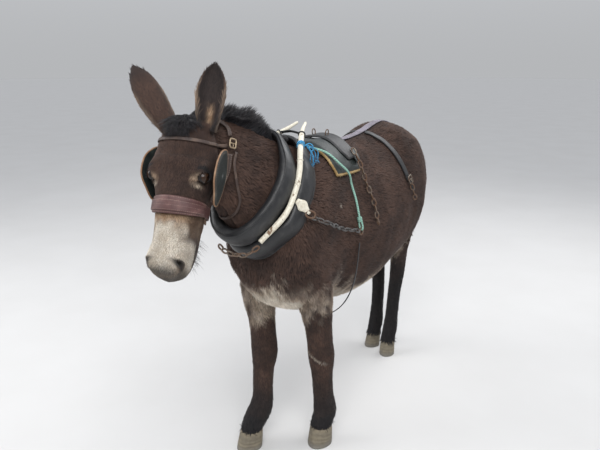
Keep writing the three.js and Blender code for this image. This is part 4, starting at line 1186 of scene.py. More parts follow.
def cordFinish(name, base, light, strandPitch=0.009):
    twist = Finish(name, Roughness=0.85)
    _, along, around = twist.alongPlace()
    strand = (along * (2 * math.pi / strandPitch) + around * 420.0).maths("SINE") * 0.5 + 0.5
    fuzz = twist.noise(900.0, 2)
    # the strands' crests are painted lighter and the grooves between them darker: painted light and shade on the twist;
    # the fuzz is the fibres' own
    colour = twist.colour(base).tinted(strand * 0.6 + fuzz * 0.3, light)
    return twist.done(colour, bump=strand + fuzz * 0.5, depth=0.0012, strength=0.9)


def webbing(name, base, light):
    web = Finish(name, Roughness=0.82)
    _, along, around = web.alongPlace()
    ribs = (along * 1900.0).maths("SINE") * 0.5 + 0.5
    cross = (around * 2300.0).maths("SINE") * 0.5 + 0.5
    dirt = web.noise(22.0, 4).clipped(0.4, 0.7)
    # the weave's raised crossings are painted lighter than the hollows between them: painted light and shade on the
    # weave; the dirt is real
    colour = web.colour(base).tinted(ribs * cross, light).tinted(dirt * 0.5, (0.10, 0.09, 0.09))
    return web.done(colour, bump=ribs * cross, depth=0.0008)


leatherBlack = blackLeather()
leatherCollar = blackLeather("collarLeather", (0.0135, 0.014, 0.0155), (0.042, 0.042, 0.044), 0.36)
leatherBrown = stitchedLeather("burgundyLeather", (0.075, 0.030, 0.028), (0.150, 0.075, 0.066))
leatherTan = stitchedLeather("tanEdge", (0.21, 0.115, 0.062), (0.34, 0.22, 0.14), 0.6)
leatherStrap = stitchedLeather("brownStrapLeather", (0.040, 0.024, 0.019), (0.115, 0.074, 0.054), 0.55)
leatherGreen = stitchedLeather("darkGreenLeather", (0.016, 0.021, 0.020), (0.040, 0.050, 0.046), 0.45)
steelFinish = wornSteel("rustySteel", (0.19, 0.16, 0.13), (0.115, 0.062, 0.036), (0.30, 0.22, 0.16), 0.85)
steelDark = wornSteel("darkSteel", (0.115, 0.110, 0.108), (0.060, 0.042, 0.034), (0.24, 0.22, 0.21), 0.45)
brassPale = wornSteel("paleBuckleMetal", (0.36, 0.28, 0.19), (0.16, 0.10, 0.06), (0.50, 0.42, 0.32), 0.4)
creamFinish = chippedPaint()
threadPale = stitchedLeather("paleThread", (0.30, 0.22, 0.18), (0.42, 0.34, 0.28), 0.8)
threadDark = stitchedLeather("darkThread", (0.05, 0.045, 0.04), (0.09, 0.08, 0.07), 0.8)
cordGreen = cordFinish("paleGreenCord", (0.16, 0.34, 0.27), (0.38, 0.60, 0.50))
twineBlue = cordFinish("blueTwine", (0.02, 0.19, 0.42), (0.10, 0.42, 0.68), 0.006)
webGrey = webbing("greyWebbing", (0.20, 0.18, 0.22), (0.34, 0.32, 0.37))
strawTrim = stitchedLeather("strawTrim", (0.27, 0.17, 0.065), (0.46, 0.33, 0.16), 0.85)


# cords, first of the harness: each ties the hames to the tug ring over the saddle
tugSetup = {
    "cordRadius": 4,
    "ringAt": ([190, -212, 792], 12),
    "cord": [([52, -358, 1096], 12), ([98, -330, 1062], 25), ([138, -298, 1034], 25), ([149, -256, 1000], 25),
             ([154, -226, 960], 9), ([168, -218, 900], 8), ([184, -212, 828], 9)],
    "backChain": [([104, -152, 1062], 40), ([140, -150, 1012], 34), ([154, -128, 950], 14), ([178, -108, 870], 12),
                  ([205, -92, 790], 12)],
    "trace": [([176, -440, 868], 22), ([178, -340, 830], 16)],
    "hipChain": [([186, 232, 884], 13), ([193, 246, 850], 13), ([197, 262, 818], 13)],
}


def mirroredX(places, sign):
    # the other side of the animal; the body's middle is at this x
    flipped = np.array(places, float)
    middle = middleShift[0] / 1000
    if sign < 0:
        flipped[..., 0] = 2 * middle - flipped[..., 0]
    return flipped


def offCoatRow(row):
    return np.array([offCoat(place, stand) for place, stand in row])


def hangTugCords():
    for side, sign in bothSides:
        route = mirroredX(smoothPath(offCoatRow(tugSetup["cord"]), 26), sign)
        piece = cleanObject(f"tugCord_{side}", [tube(route, tugSetup["cordRadius"] * 0.93, 12)], cordGreen)
        place(piece, f"tug_cord_{side}", slot="green_cord")
        # tied to the tug ring by a loop and three turns
        end, ring = route[-1], mirroredX(offCoat(*tugSetup["ringAt"]), sign)
        low = ring + np.array([0, 0, 0.008])
        reach = np.linalg.norm(end - low) * 500 + 5
        parts = [oval((end + low) / 2 + np.array([sign * 0.001, 0, 0]), end - low, [1, 0, 0], reach, 9.5, 3.3,
                      30, 10, 2.6)]
        down = unit(route[-1] - route[-2])
        around = unit(np.cross(down, [1, 0, 0]))
        for turn in range(3):
            parts.append(oval(end - down * (0.001 + 0.0058 * turn), np.cross(down, around), around, 9.2, 8.8,
                              3.0, 24, 8, 2))
        knot = cleanObject(f"tugKnot_{side}", parts, cordGreen)
        place(knot, slot="green_cord")


hangTugCords()


# collar: two padded leather rolls round the neck, with the hames in the groove between
collarSetup = {
    "middle": (0, -478, 945), "forward": (0, -0.803, 0.596),
    "pad": {"at": 30, "thick": 21.5, "wide": 41.5}, "roll": {"at": 116, "thick": 22.5, "wide": 39.5},
    "hameAt": 88, "hameStand": 52, "hameRadius": 10,
}
collarForward = unit(collarSetup["forward"])
collarUp = np.cross(collarForward, [1, 0, 0])


def collarRay(at, degrees):
    # where a spoke of the collar's plane leaves the coat
    centre = metres(collarSetup["middle"]) + collarForward * at / 1000
    way = np.array([math.cos(math.radians(degrees)), 0, 0]) + collarUp * math.sin(math.radians(degrees))
    return coatRay(centre, way), way


def onCollar(at, degrees, stand):
    spot, way = collarRay(at, degrees)
    return spot + way * stand / 1000


def collarRing(part, turns=132):
    # the roll's middle line, how thick it is there, and the way out
    setup = collarSetup[part]
    degrees = np.linspace(0, 360, turns, endpoint=False)
    found = [collarRay(setup["at"], d) for d in degrees]
    spots, ways = np.array([f[0] for f in found]), np.array([f[1] for f in found])
    for _ in range(14):
        reach = np.sum((spots - metres(collarSetup["middle"])) * ways, axis=1)
        even = (np.roll(reach, 1) + np.roll(reach, -1)) / 2
        spots = spots + ways * ((even - reach) * 0.5)[:, None]
    thin = np.maximum(np.sin(np.radians(degrees)), 0) ** 3
    thick = setup["thick"] * (1 - 0.5 * thin)
    return spots + ways * ((thick + 1.2) / 1000)[:, None], ways, thick


def paddedRoll(part, name, node, seamAt):
    setup = collarSetup[part]
    core, ways, thick = collarRing(part)
    turns, sides = len(core), 30
    angle = np.linspace(0, 2 * np.pi, sides, endpoint=False)
    c, s = np.cos(angle), np.sin(angle)
    radial = np.sign(c) * np.abs(c) ** 0.82
    forward = np.sign(s) * np.abs(s) ** 0.82
    # the stuffing sits unevenly, and the hide draws into small creases across the roll
    lump = 1 + 0.035 * wobble(core, 0.09, 31)[:, None] + 0.02 * np.sin(angle * 3)[None]
    spots = (core[:, None] + ways[:, None] * (thick[:, None] * radial[None] * lump / 1000)[..., None]
             + collarForward * (setup["wide"] * forward[None] * (0.96 + 0.04 * lump) / 1000)[..., None])
    flat = spots.reshape(-1, 3)
    creases = wobble(flat, 0.016, 33 + len(name)) * 0.7 + wobble(flat, 0.03, 34) * 0.9
    outward = unit(flat - np.repeat(core, sides, 0))
    lower = 1 - eased(0.95, 1.12, flat[:, 2])
    flat = flat + outward * (creases * (0.4 + 0.8 * lower) / 1000)[:, None]
    run = runAlong(core)
    uv = np.stack(np.meshgrid(run, angle * 0.03, indexing="ij"), 2).reshape(-1, 2)
    piece = cleanObject(name, [(flat, gridFaces(turns, sides, True), uv)], leatherCollar)
    place(piece, node, slot="black_leather")
    seam = flat.reshape(turns, sides, 3)[:, int(round(seamAt / 360 * sides)) % sides]
    outSeam = unit(seam - core)
    piping = cleanObject(f"{name}Piping", [tube(seam + outSeam * 0.0012, 2.6, 8, True)], leatherBlack)
    place(piping, slot="black_leather")
    side = unit(np.cross(heading(seam, True), outSeam))
    flatDrop = np.zeros((turns, 2))
    rows = stitchRow(seam, side, outSeam, flatDrop, 6.5 * (1 if seamAt > 180 else -1), 40, 1.2, 0.0085, 0.75)
    stitches = cleanObject(f"{name}Stitches", rows, threadDark)
    place(stitches, slot="black_leather")


paddedRoll("pad", "collarPad", "collar_pad", 318)
paddedRoll("roll", "collarRoll", "collar_roll", 60)
print("collar")


# hames, their hooks, strap, chain and twine
def hameRoute():
    at, stand = collarSetup["hameAt"], collarSetup["hameStand"]
    return np.array([metres([16, -306, 1174]), metres([38, -366, 1148]), onCollar(at, 54, stand - 2),
                     onCollar(at, 30, stand - 10), onCollar(at, 0, stand - 10), onCollar(at, -36, stand - 2),
                     onCollar(at, -70, stand)])


def makeHames():
    route = smoothPath(hameRoute(), 90)
    t = np.linspace(0, 1, len(route))
    taper = 0.52 + 0.42 * eased(0, 0.22, t) + 0.06 * np.sin(t * 40) * 0.2 - 0.12 * eased(0.86, 1, t)
    taper[0] *= 0.75
    at, stand = collarSetup["hameAt"], collarSetup["hameStand"]
    for side, sign in bothSides:
        line = mirroredX(route, sign)
        parts = [tube(line, collarSetup["hameRadius"] * 0.98, 18, taper=taper)]
        for spot in (0.30, 0.44, 0.58):     # clips and old welds round the tube
            parts.append(ringRound(line, int(spot * len(line)), 11.2, 1.6, 24))
        place(cleanObject(f"hameTube_{side}", parts, creamFinish), f"hame_{side}", slot="cream_paint")
        plateRow = [onCollar(at - 6, -14, stand + 4), onCollar(at - 32, -15, stand + 10),
                    onCollar(at - 58, -17, stand + 16)]
        plate = mirroredX(smoothPath(plateRow, 16), sign)
        u = np.linspace(0, 1, 16)
        tall = 0.72 + 1.05 * bell(u - 0.42, 0.26) - 0.25 * eased(0.8, 1, u)
        way = heading(plate)
        up = unit(np.tile([0, 0.1, 1.0], (16, 1)) - way * (way @ np.array([0, 0.1, 1.0]))[:, None])
        out = np.cross(way, up)
        thin = 0.9 - 0.35 * u
        body = swept(plate, up, out, roundSection(10.5, 16, 0.52), False, np.stack([tall, thin], 1))
        bolt = oval(plate[7] + out[7] * sign * 0.003, up[7], way[7], 5.5, 5.5, 2.2, 18, 8, 2)
        place(cleanObject(f"hamePlate_{side}", [body, bolt], creamFinish), f"hame_hook_{side}", slot="cream_paint")
        eye = plate[-1] + way[-1] * 0.004
        loops = [oval(eye, way[-1] + up[-1] * 0.5, up[-1] - way[-1] * 0.5, 19, 14, 3.4, 30, 9, 2.4)]
        place(cleanObject(f"hameLoop_{side}", loops, steelFinish), slot="worn_steel")
    return route


hameLine = makeHames()


def makeHameTies():
    at, stand = collarSetup["hameAt"], collarSetup["hameStand"]
    under = [onCollar(at, d, stand + 12) for d in np.linspace(-109, -71, 5)]
    chain = cleanObject("hameChain", chainLinks(under, collarForward, 25, 9.5, 3.0, 3), steelFinish)
    place(chain, "hame_chain", slot="worn_steel")
    # a strap joins the hames over the crest
    strapAt = int(len(hameLine) * 0.165)
    nearTop = hameLine[strapAt]
    row = np.array([nearTop, metres([8, 0, 0]) * [1, 0, 0] + nearTop * [0, 1, 1] + [0, 0, 0.006]])
    row = smoothPath(np.vstack([row, mirroredX(row, -1)[::-1]]), 18)
    section = strapSection(13, 4)
    way = heading(row)
    side = np.tile(collarForward, (len(row), 1))
    out = unit(np.cross(way, side))
    out = out * np.sign(out[:, 2:3])
    parts = [swept(row, side, out, section)]
    for sign in (1, -1):
        parts.append(ringRound(mirroredX(hameLine, sign), strapAt, 13, 2.2))
    place(cleanObject("hameStrap", parts, leatherBlack), "hame_strap", slot="black_leather")


def makeTwine():
    # twine lashed round the near hame, with frayed ends hanging
    i = int(len(hameLine) * 0.30)
    knot = hameLine[i] + np.array([0.014, 0.004, -0.002])
    way = heading(hameLine)[i]
    first = unit(np.cross(way, [0, 0, 1.0]))
    second = np.cross(way, first)
    mixer = np.random.default_rng(5)
    parts = []
    for k in range(5):
        centre = hameLine[i] + way * (k - 2) * 0.0042
        parts.append(oval(centre, first + 0.2 * mixer.normal(0, 1, 3), second, 13.4, 13.4, 1.7, 26, 6, 2))
    ends = []
    for k in range(5):
        lean = mixer.normal(0, 0.006, (4, 3))
        drop = np.array([[0.004, 0.004, 0.004], [0.013, 0.010, -0.006], [0.017, 0.012 + 0.006 * k, -0.022],
                         [0.017, 0.014 + 0.008 * k, -0.044 - 0.006 * (k % 3)]])
        ends.append(smoothPath(knot + np.vstack([[0, 0, 0], drop + lean * [[0.2], [0.6], [1], [1]]]), 18))
    loop = knot + np.array([[0, 0, 0], [0.012, 0.006, 0.008], [0.020, 0.014, 0.0], [0.018, 0.018, -0.016],
                            [0.010, 0.012, -0.014], [0.004, 0.004, -0.002]])
    parts.append(tube(smoothPath(loop, 30), 1.7, 7))
    lashing = cleanObject("hameTwine", parts, twineBlue)
    place(lashing, "hame_twine", slot="blue_twine")
    for k, end in enumerate(ends):
        wisps = []
        for _ in range(6):
            spread = mixer.normal(0, 0.004, 3) + [0, 0, -0.012]
            wisps.append(tube(smoothPath(np.array([end[-1], end[-1] + spread * 0.5, end[-1] + spread]), 5), 0.45, 4))
        fray = place(cleanObject(f"twineFray_{k + 1}", wisps, twineBlue), slot="blue_twine")
        piece = place(cleanObject(f"twineEnd_{k + 1}", [tube(end, 1.6, 8)], twineBlue), slot="blue_twine")


makeHameTies()
makeTwine()
print("hames")


# tug rings and chains
def makeChains():
    ring = offCoat(*tugSetup["ringAt"])
    plateEnd = onCollar(collarSetup["hameAt"] - 58, -17, collarSetup["hameStand"] + 16)
    rows = {
        "back": offCoatRow(tugSetup["backChain"]),
        "trace": np.vstack([[plateEnd + np.array([0, 0.014, -0.016])], offCoatRow(tugSetup["trace"]),
                            [ring + np.array([0, -0.018, 0.006])]]),
    }
    for side, sign in bothSides:
        at = mirroredX(ring, sign)
        loop = oval(at, np.array([0, 0, 1.0]), np.array([0, 1.0, 0]), 16, 16, 3.0, 32, 10, 2)
        place(cleanObject(f"tugRing_{side}", [loop], steelFinish), f"tug_ring_{side}", slot="worn_steel")
        outward = np.array([float(sign), 0, 0])
        for seed, (name, route) in enumerate(rows.items()):
            links = chainLinks(mirroredX(route, sign), outward, 26, 9.5, 2.9, seed + 4)
            piece = cleanObject(f"{name}Chain_{side}", links, steelDark if name == "trace" else steelFinish)
            place(piece, f"{name}_chain_{side}", slot="worn_steel")


makeChains()
print("chains")


# mane, forelock and tail: locks of long hair
maneSetup = {
    "line": [(-51, -684, 1200), (-46, -672, 1192), (-24, -600, 1172), (-8, -500, 1130), (-2, -440, 1100)],
    "atPoll": 66, "atCollar": 30, "locks": 6200, "halfWide": 15,
}
forelockSetup = {"locks": 2100, "rows": [(-36, -46, 0, 24, 30), (-12, -18, -2, 28, 34), (12, -2, -4, 26, 24),
                                         (36, 4, 0, 17, 11)]}
tailSetup = {"locks": 3200, "line": [(4, 574, 720), (5, 576, 640), (8, 570, 540), (10, 566, 450), (11, 562, 392)],
             "reach": [17, 26, 30, 22, 7]}


def skinPlaces(roots):
    # the nearest place on the skin's unwrap for each root
    flat = readAll(skinMesh.uv_layers["OFBake"].data, "uv", width=2)
    loops = readAll(skinMesh.loops, "vertex_index", np.int32, 1)
    cornerOf = np.zeros(len(skinMesh.vertices), np.int64)
    cornerOf[loops] = np.arange(len(loops))
    corners = triangles(skinMesh)
    faceTree = BVHTree.FromPolygons(skinPoints.tolist(), corners.tolist())
    nearest = [corners[faceTree.find_nearest(p)[2]][0] for p in roots.tolist()]
    return flat[cornerOf[nearest]]


def lockPiece(name, paths, wide, across, node, finish, slot):
    # paths: locks x steps x 3; each lock has a ridged section that narrows to its tip
    count, steps = paths.shape[:2]
    way = unit(np.gradient(paths, axis=1))
    side = unit(across[:, None] - way * np.sum(across[:, None] * way, axis=2, keepdims=True))
    ridge = np.cross(side, way)
    t = np.linspace(0, 1, steps)
    width = (wide[:, None] / 2 * (1 - 0.25 * t[None] - 0.45 * t[None] ** 4))[..., None]
    left = paths - side * width
    middle = paths + ridge * width * 0.75
    right = paths + side * width
    body = np.stack([left[:, :-1], middle[:, :-1], right[:, :-1]], 2).reshape(count, -1, 3)
    spots = np.concatenate([body, paths[:, -1:]], 1)
    faces = []
    for k in range(steps - 2):
        a = 3 * k
        faces += [[a, a + 1, a + 3], [a + 1, a + 4, a + 3], [a + 1, a + 2, a + 4], [a + 2, a + 5, a + 4],
                  [a + 2, a, a + 5], [a, a + 3, a + 5]]
    a, tipAt = 3 * (steps - 2), 3 * (steps - 1)
    faces += [[a, a + 1, tipAt], [a + 1, a + 2, tipAt], [a + 2, a, tipAt]]
    each = spots.shape[1]
    faces = (np.array(faces)[None] + np.arange(count)[:, None, None] * each).reshape(-1, 3)
    piece = meshObject(name, spots.reshape(-1, 3), faces, finish)
    patch = np.array([[(-1, 0, 1)[j], -1 + 2 * k / (steps - 1)] for k in range(steps - 1) for j in range(3)] + [[0, 1]])
    uv = (skinPlaces(paths[:, 0])[:, None] + patch[None] * 0.0015).reshape(-1, 2)
    loops = faces.ravel()
    piece.data.uv_layers.new(name="OFBake").data.foreach_set("uv", uv[loops].astype(np.float32).ravel())
    addNumbers(piece.data, "tone", np.repeat(rng.random(count), each))
    tip = np.array([k / (steps - 1) for k in range(steps - 1) for _ in range(3)] + [1.0])
    addNumbers(piece.data, "tip", np.tile(tip, count))
    place(piece, *([node] if node else []), slot=slot)
    return piece


def bentLocks(root, way, fall, long, steps, curl=0.0):
    # each lock leaves along its way and bends towards its fall
    t = np.linspace(0, 1, steps)[None, :, None]
    swing = rng.normal(0, 1, (len(root), 1, 3)) * curl
    reach = long[:, None, None]
    return root[:, None] + way[:, None] * t * reach + (fall[:, None] + swing) * t ** 2 * reach


def blackHair():
    hair = Finish("blackLongHair", Roughness=0.48, Specular_IOR_Level=0.5, Sheen_Weight=0.05)
    tone, tip = hair.number("tone"), hair.number("tip")
    streak = hair.noise(160.0, 2, stretch=(1, 1, 0.25)).clipped(0.35, 0.7)
    colour = hair.colour((0.0065, 0.0068, 0.0095)).tinted(streak, (0.016, 0.016, 0.022))
    colour = colour.tinted(tip * 0.4 * tone, (0.045, 0.030, 0.024))
    return hair.done(colour.darkened(0.6 + tone * 0.8), bump=hair.noise(700.0, 2, stretch=(1, 1, 0.2)), depth=0.0004)


longHair = blackHair()


def growMane():
    count = maneSetup["locks"]
    t = np.sort(rng.random(count)) ** 0.95
    line = smoothPath(metres(maneSetup["line"]), 200)
    line = settled(line)[0]
    for _ in range(8):
        line[1:-1] = (line[1:-1] + (line[:-2] + line[2:]) / 2) / 2
    i = np.clip((t * 199).astype(int), 0, 199)
    ways = heading(line)[i]
    up = unit(np.array([0, 0, 1.0]) - ways * ways[:, 2:3])
    across = np.cross(ways, up)
    x = np.clip(rng.normal(0, 0.5, count), -1, 1)
    leftward = np.sign(across[:, 0])
    tall = (maneSetup["atPoll"] + (maneSetup["atCollar"] - maneSetup["atPoll"]) * eased(0, 1, t))
    tall = tall * np.minimum(0.70 + 1.8 * t, 1) * (1.08 - 0.30 * x ** 2) * rng.uniform(0.72, 1.08, count)
    tall *= 1 + 0.10 * wobble(line[i], 0.022, 51)
    root = line[i] + across * (x * maneSetup["halfWide"] / 1000)[:, None]
    root = settled(root, -3.5)[0]
    lean = up + across * (0.50 * x)[:, None] + ways * (0.10 + 0.22 * wobble(root, 0.03, 52))[:, None]
    lean = unit(lean + across * (0.14 * wobble(root, 0.05, 53))[:, None])
    spill = eased(0.5, 1.2, x * leftward) * eased(0.42, 0.05, t)      # some of it falls to the near side by the ear
    fall = ways * 0.16 + across * (0.10 + 0.16 * x)[:, None] + across * (0.16 * wobble(root, 0.02, 54))[:, None]
    fall = fall + across * (0.5 * leftward * spill)[:, None] - up * (0.55 * spill)[:, None]
    paths = bentLocks(root, lean, fall, tall / 1000, 5, 0.05)
    wide = rng.uniform(1.6, 3.2, count) / 1000
    lockPiece("maneLocks", paths, wide, ways * 0.6 + rng.normal(0, 0.6, (count, 3)), "mane", longHair, "dark_hair")


def growForelock():
    count = forelockSetup["locks"]
    rows = np.array(forelockSetup["rows"], float)
    t = rng.random(count) * 0.9
    at = np.stack([np.interp(t * 3, range(4), rows[:, k]) for k in range(5)], 1)
    x = np.clip(rng.normal(0, 0.5, count), -1, 1)
    places = np.array([onHead(a[0], a[1], a[2] + a[3] * xx * 0.85) for a, xx in zip(at, x)])
    root, out = settled(places, -3)
    long = (0.95 * at[:, 4] + 13) * rng.uniform(0.7, 1.2, count) / 1000
    way = unit(out * 0.9 + faceDown * (0.35 + 0.5 * t)[:, None] + faceLeft * (0.35 * x)[:, None]
               + rng.normal(0, 0.14, (count, 3)))
    fall = faceDown * 0.55 + faceLeft * (0.35 * x + 0.15 * wobble(root, 0.02, 61))[:, None] - out * 0.25
    paths = bentLocks(root, way, fall, long, 5, 0.06)
    lockPiece("forelockLocks", paths, rng.uniform(1.4, 2.8, count) / 1000, rng.normal(0, 1, (count, 3)), "forelock",
              longHair, "dark_hair")


def growTail():
    count = tailSetup["locks"]
    line = smoothPath(metres(tailSetup["line"]), 120)
    reach = np.interp(np.linspace(0, 4, 120), range(5), tailSetup["reach"])
    start = rng.random(count) ** 1.35 * 0.62
    stretch = rng.uniform(0.30, 0.42, count)
    angle = rng.uniform(0, 2 * np.pi, count)
    ring = np.sqrt(rng.random(count))
    steps = 8
    paths = np.zeros((count, steps, 3))
    for k in range(steps):
        along = np.clip(start + stretch * k / (steps - 1), 0, 1)
        i = np.clip((along * 119).astype(int), 0, 119)
        out = 0.35 + 0.65 * min(k / 2.5, 1)
        spin = angle + 0.25 * k / steps * wobble(line[i], 0.08, 71)
        radius = reach[i] * ring * out / 1000 * (1 - 0.18 * (k == steps - 1))
        paths[:, k] = line[i] + np.stack([np.cos(spin) * radius, np.sin(spin) * radius, np.zeros(count)], 1)
    paths[:, 1:] += rng.normal(0, 0.0012, (count, steps - 1, 3)) * [1, 1, 0.3]
    lockPiece("tailLocks", paths, rng.uniform(2.2, 4.2, count) / 1000, rng.normal(0, 1, (count, 3)), "tail_switch",
              longHair, "dark_hair")


def growWhiskers():
    # stiff single hairs on the chin, lips and under the jaw
    count = 150
    down = rng.uniform(330, 440, count)
    around = rng.uniform(-1, 1, count)
    aim = np.array([onHead(d, -104 - 90 * math.cos(a * 1.25), 90 * math.sin(a * 1.25)) for d, a in zip(down, around)])
    root, out = settled(aim, -2)
    way = unit(out + faceDown * 0.45 + rng.normal(0, 0.25, (count, 3)))
    paths = bentLocks(root, way, np.tile([0, 0, -0.25], (count, 1)), rng.uniform(0.012, 0.034, count), 4, 0.1)
    lockPiece("whiskers", paths, np.full(count, 0.0007), rng.normal(0, 1, (count, 3)), None, longHair, "dark_hair")


growMane()
growForelock()
growTail()
growWhiskers()
print("long hair")


# eyes
def eyeFinish():
    ball = Finish("eye", Roughness=0.12, Specular_IOR_Level=0.3, Coat_Weight=0.1, Coat_Roughness=0.08)
    _, along, around = ball.alongPlace()
    # along: 0 in the middle of the eye, 1 at its back; around: across the slit pupil
    iris = 1 - along.clipped(0.30, 0.36)
    rays = ball.noise(260.0, 4).clipped(0.3, 0.75)
    colour = ball.colour((0.012, 0.008, 0.007)).tinted(iris, (0.020, 0.010, 0.006))
    colour = colour.tinted(iris * rays * 0.7, (0.045, 0.022, 0.011))
    colour = colour.tinted(1 - around.clipped(0.10, 0.13), (0.002, 0.002, 0.003))
    return ball.done(colour, 0.14 + along * 0.08)


def makeEyes():
    material = eyeFinish()
    for sideName, side in bothSides:
        centre = onHead(eyeSetup["down"], eyeSetup["out"], side * eyeSetup["left"])
        gaze = unit(np.array([-0.05, 0.3, side]) @ headAxes)
        slit = unit(np.array([1, 0.22, 0]) @ headAxes)
        slit = unit(slit - gaze * (slit @ gaze))
        upward = np.cross(gaze, slit)
        rings, sides = 26, 40
        spots, uv = [], []
        for r in range(rings + 1):
            polar = math.pi * r / rings
            bulge = 1 + 0.055 * math.exp(-(polar / 0.62) ** 2)
            for s in range(sides):
                turnAt = 2 * math.pi * s / sides
                x, y = math.sin(polar) * math.cos(turnAt), math.sin(polar) * math.sin(turnAt)
                way = gaze * math.cos(polar) * bulge + slit * x + upward * y
                spots.append(centre + way * (eyeSetup["radius"] - 0.4) / 1000)
                uv.append((r / rings, math.hypot(x / 2.4, y)))
        faces = gridFaces(rings + 1, sides, False)
        piece = cleanObject(f"eyeball_{sideName}", [(np.array(spots), faces, np.array(uv))], material)
        place(piece, f"eye_{sideName}", slot="eye")
        # lashes on the upper lid
        lashes = []
        mixer = np.random.default_rng(14)
        for k in range(46):
            u = -0.85 + 1.7 * k / 45 + mixer.normal(0, 0.02)
            tall = math.sqrt(max(1 - abs(u) ** 2.2, 0.02))
            rise = upward * side * eyeSetup["halfHigh"] * tall * 0.98
            lidAt = slit * u * eyeSetup["halfLong"] + rise
            forward = math.sqrt(max(21.0 ** 2 - float(lidAt @ lidAt), 1))
            start = centre + (lidAt + gaze * forward) / 1000
            way = unit(gaze * 0.9 + upward * side * 0.35 - slit * 0.2 + mixer.normal(0, 0.12, 3))
            long = 0.008 * (0.6 + 0.6 * mixer.random())
            droop = -upward * side * 0.0022
            lashes.append(tube(smoothPath(np.array([start, start + way * long * 0.5 + droop * 0.2,
                                                    start + way * long + droop]), 5), 0.28, 3))
        place(cleanObject(f"lashes_{sideName}", lashes, longHair), slot="dark_hair")


makeEyes()
print("eyes")


# hooves
hoofSetup = {
    "forehoof_left": {"at": (117, -356), "toe": 4, "slim": 1.0},
    "forehoof_right": {"at": (-90, -512), "toe": -6, "slim": 1.0},
    "hindhoof_left": {"at": (45, 430), "toe": 10, "slim": 0.8},
    "hindhoof_right": {"at": (-52, 480), "toe": -10, "slim": 0.8},
}


def hornFinish():
    horn = Finish("hoofHorn", Specular_IOR_Level=0.4)
    height = horn.base.node("SeparateXYZ", None, {0: horn.where}, 2)
    wander = horn.noise(24.0, 4)
    rings = (height * 430.0 + wander * 9.0).maths("SINE") * 0.5 + 0.5
    fibre = horn.noise(150.0, 3, stretch=(1, 1, 0.07))
    stain = horn.noise(34.0, 4).clipped(0.4, 0.68)
    colour = horn.colour((0.165, 0.140, 0.098)).tinted(rings * 0.4, (0.26, 0.225, 0.160))
    colour = colour.tinted(stain * 0.6, (0.115, 0.100, 0.078))
    colour = colour.tinted(fibre.clipped(0.5, 0.75) * 0.35, (0.085, 0.070, 0.055))
    dirt = (1 - height.clipped(0.0, 0.026)) * 0.65
    colour = colour.tinted(dirt, (0.155, 0.150, 0.140))
    colour = colour.tinted(height.clipped(0.050, 0.066) * 0.7, (0.235, 0.195, 0.135))
    return horn.done(colour, 0.6 + fibre * 0.2, bump=rings * 0.7 + fibre * 0.4, depth=0.0016, strength=0.8)


def makeHooves():
    material = hornFinish()
    for name, hoof in hoofSetup.items():
        angle = math.radians(hoof["toe"])
        s = np.linspace(0, 2 * np.pi, 56, endpoint=False)
        levels = [(0.0, 14, 43.6, 52.4, 44.4), (0.8, 12.2, 44.6, 53.4, 45.4), (6, 11, 44.6, 53.6, 45.6),
                  (22, 8.4, 43.8, 51.6, 45.2), (40, 5, 42.6, 48.6, 44.6), (56, 2, 41.0, 45.4, 43.4),
                  (62, 1, 40.2, 44.2, 42.8), (65.4, 0.2, 38.6, 42.4, 41.2)]
        table = np.array(levels)
        heights = np.concatenate([[0, 0.8], np.linspace(2.5, 65.4, 30)])
        rings = []
        for z in heights:
            forward, wide, toeReach, heelReach = (np.interp(z, table[:, 0], table[:, k]) for k in (1, 2, 3, 4))
            ridge = 0.45 * math.sin(z * 0.62) * (z > 2)
            reach = np.where(np.sin(s) > 0, heelReach, toeReach) * hoof["slim"] + ridge
            x = (wide * hoof["slim"] + ridge) * np.cos(s) * (1 - 0.12 * np.maximum(-np.sin(s), 0))
            y = reach * np.sin(s) - forward
            # the heels part into two bulbs at the back
            cleft = np.exp(-(np.cos(s) / 0.22) ** 2) * (np.sin(s) > 0)
            y = y - cleft * (5 + 3 * (z / 66))
            px = hoof["at"][0] + x * math.cos(angle) - y * math.sin(angle)
            py = hoof["at"][1] + x * math.sin(angle) + y * math.cos(angle)
            rings.append(np.stack([px, py, np.full(len(s), z)], 1))
        rings.insert(0, rings[0].mean(0) + (rings[0] - rings[0].mean(0)) * 0.02)
        rings.append(rings[-1].mean(0) + (rings[-1] - rings[-1].mean(0)) * 0.02)
        spots = metres(np.vstack(rings))
        piece = cleanObject(f"{name}Horn", [(spots, gridFaces(len(rings), len(s), False), np.zeros((len(spots), 2)))],
                            material)
        place(piece, name, slot="horn")


makeHooves()
print("hooves")


# cart saddle: a padded panel each side of the spine under a leather seat with skirts
saddleSetup = {
    "pad": {"y": -218, "z": 860, "wide": 212, "from": 45, "to": 135, "lift": 4.5, "thick": 14},
    "seat": {"y": -176, "z": 860, "wide": 88, "from": 55, "to": 125, "lift": 23, "thick": 7},
}


def acrossBack(y, z, degrees, stand):
    # a place over the trunk, looking out from inside it in one upright plane
    way = np.array([math.cos(math.radians(degrees)), 0, math.sin(math.radians(degrees))])
    return coatRay(metres([0, y, z]), way) + way * stand / 1000, way


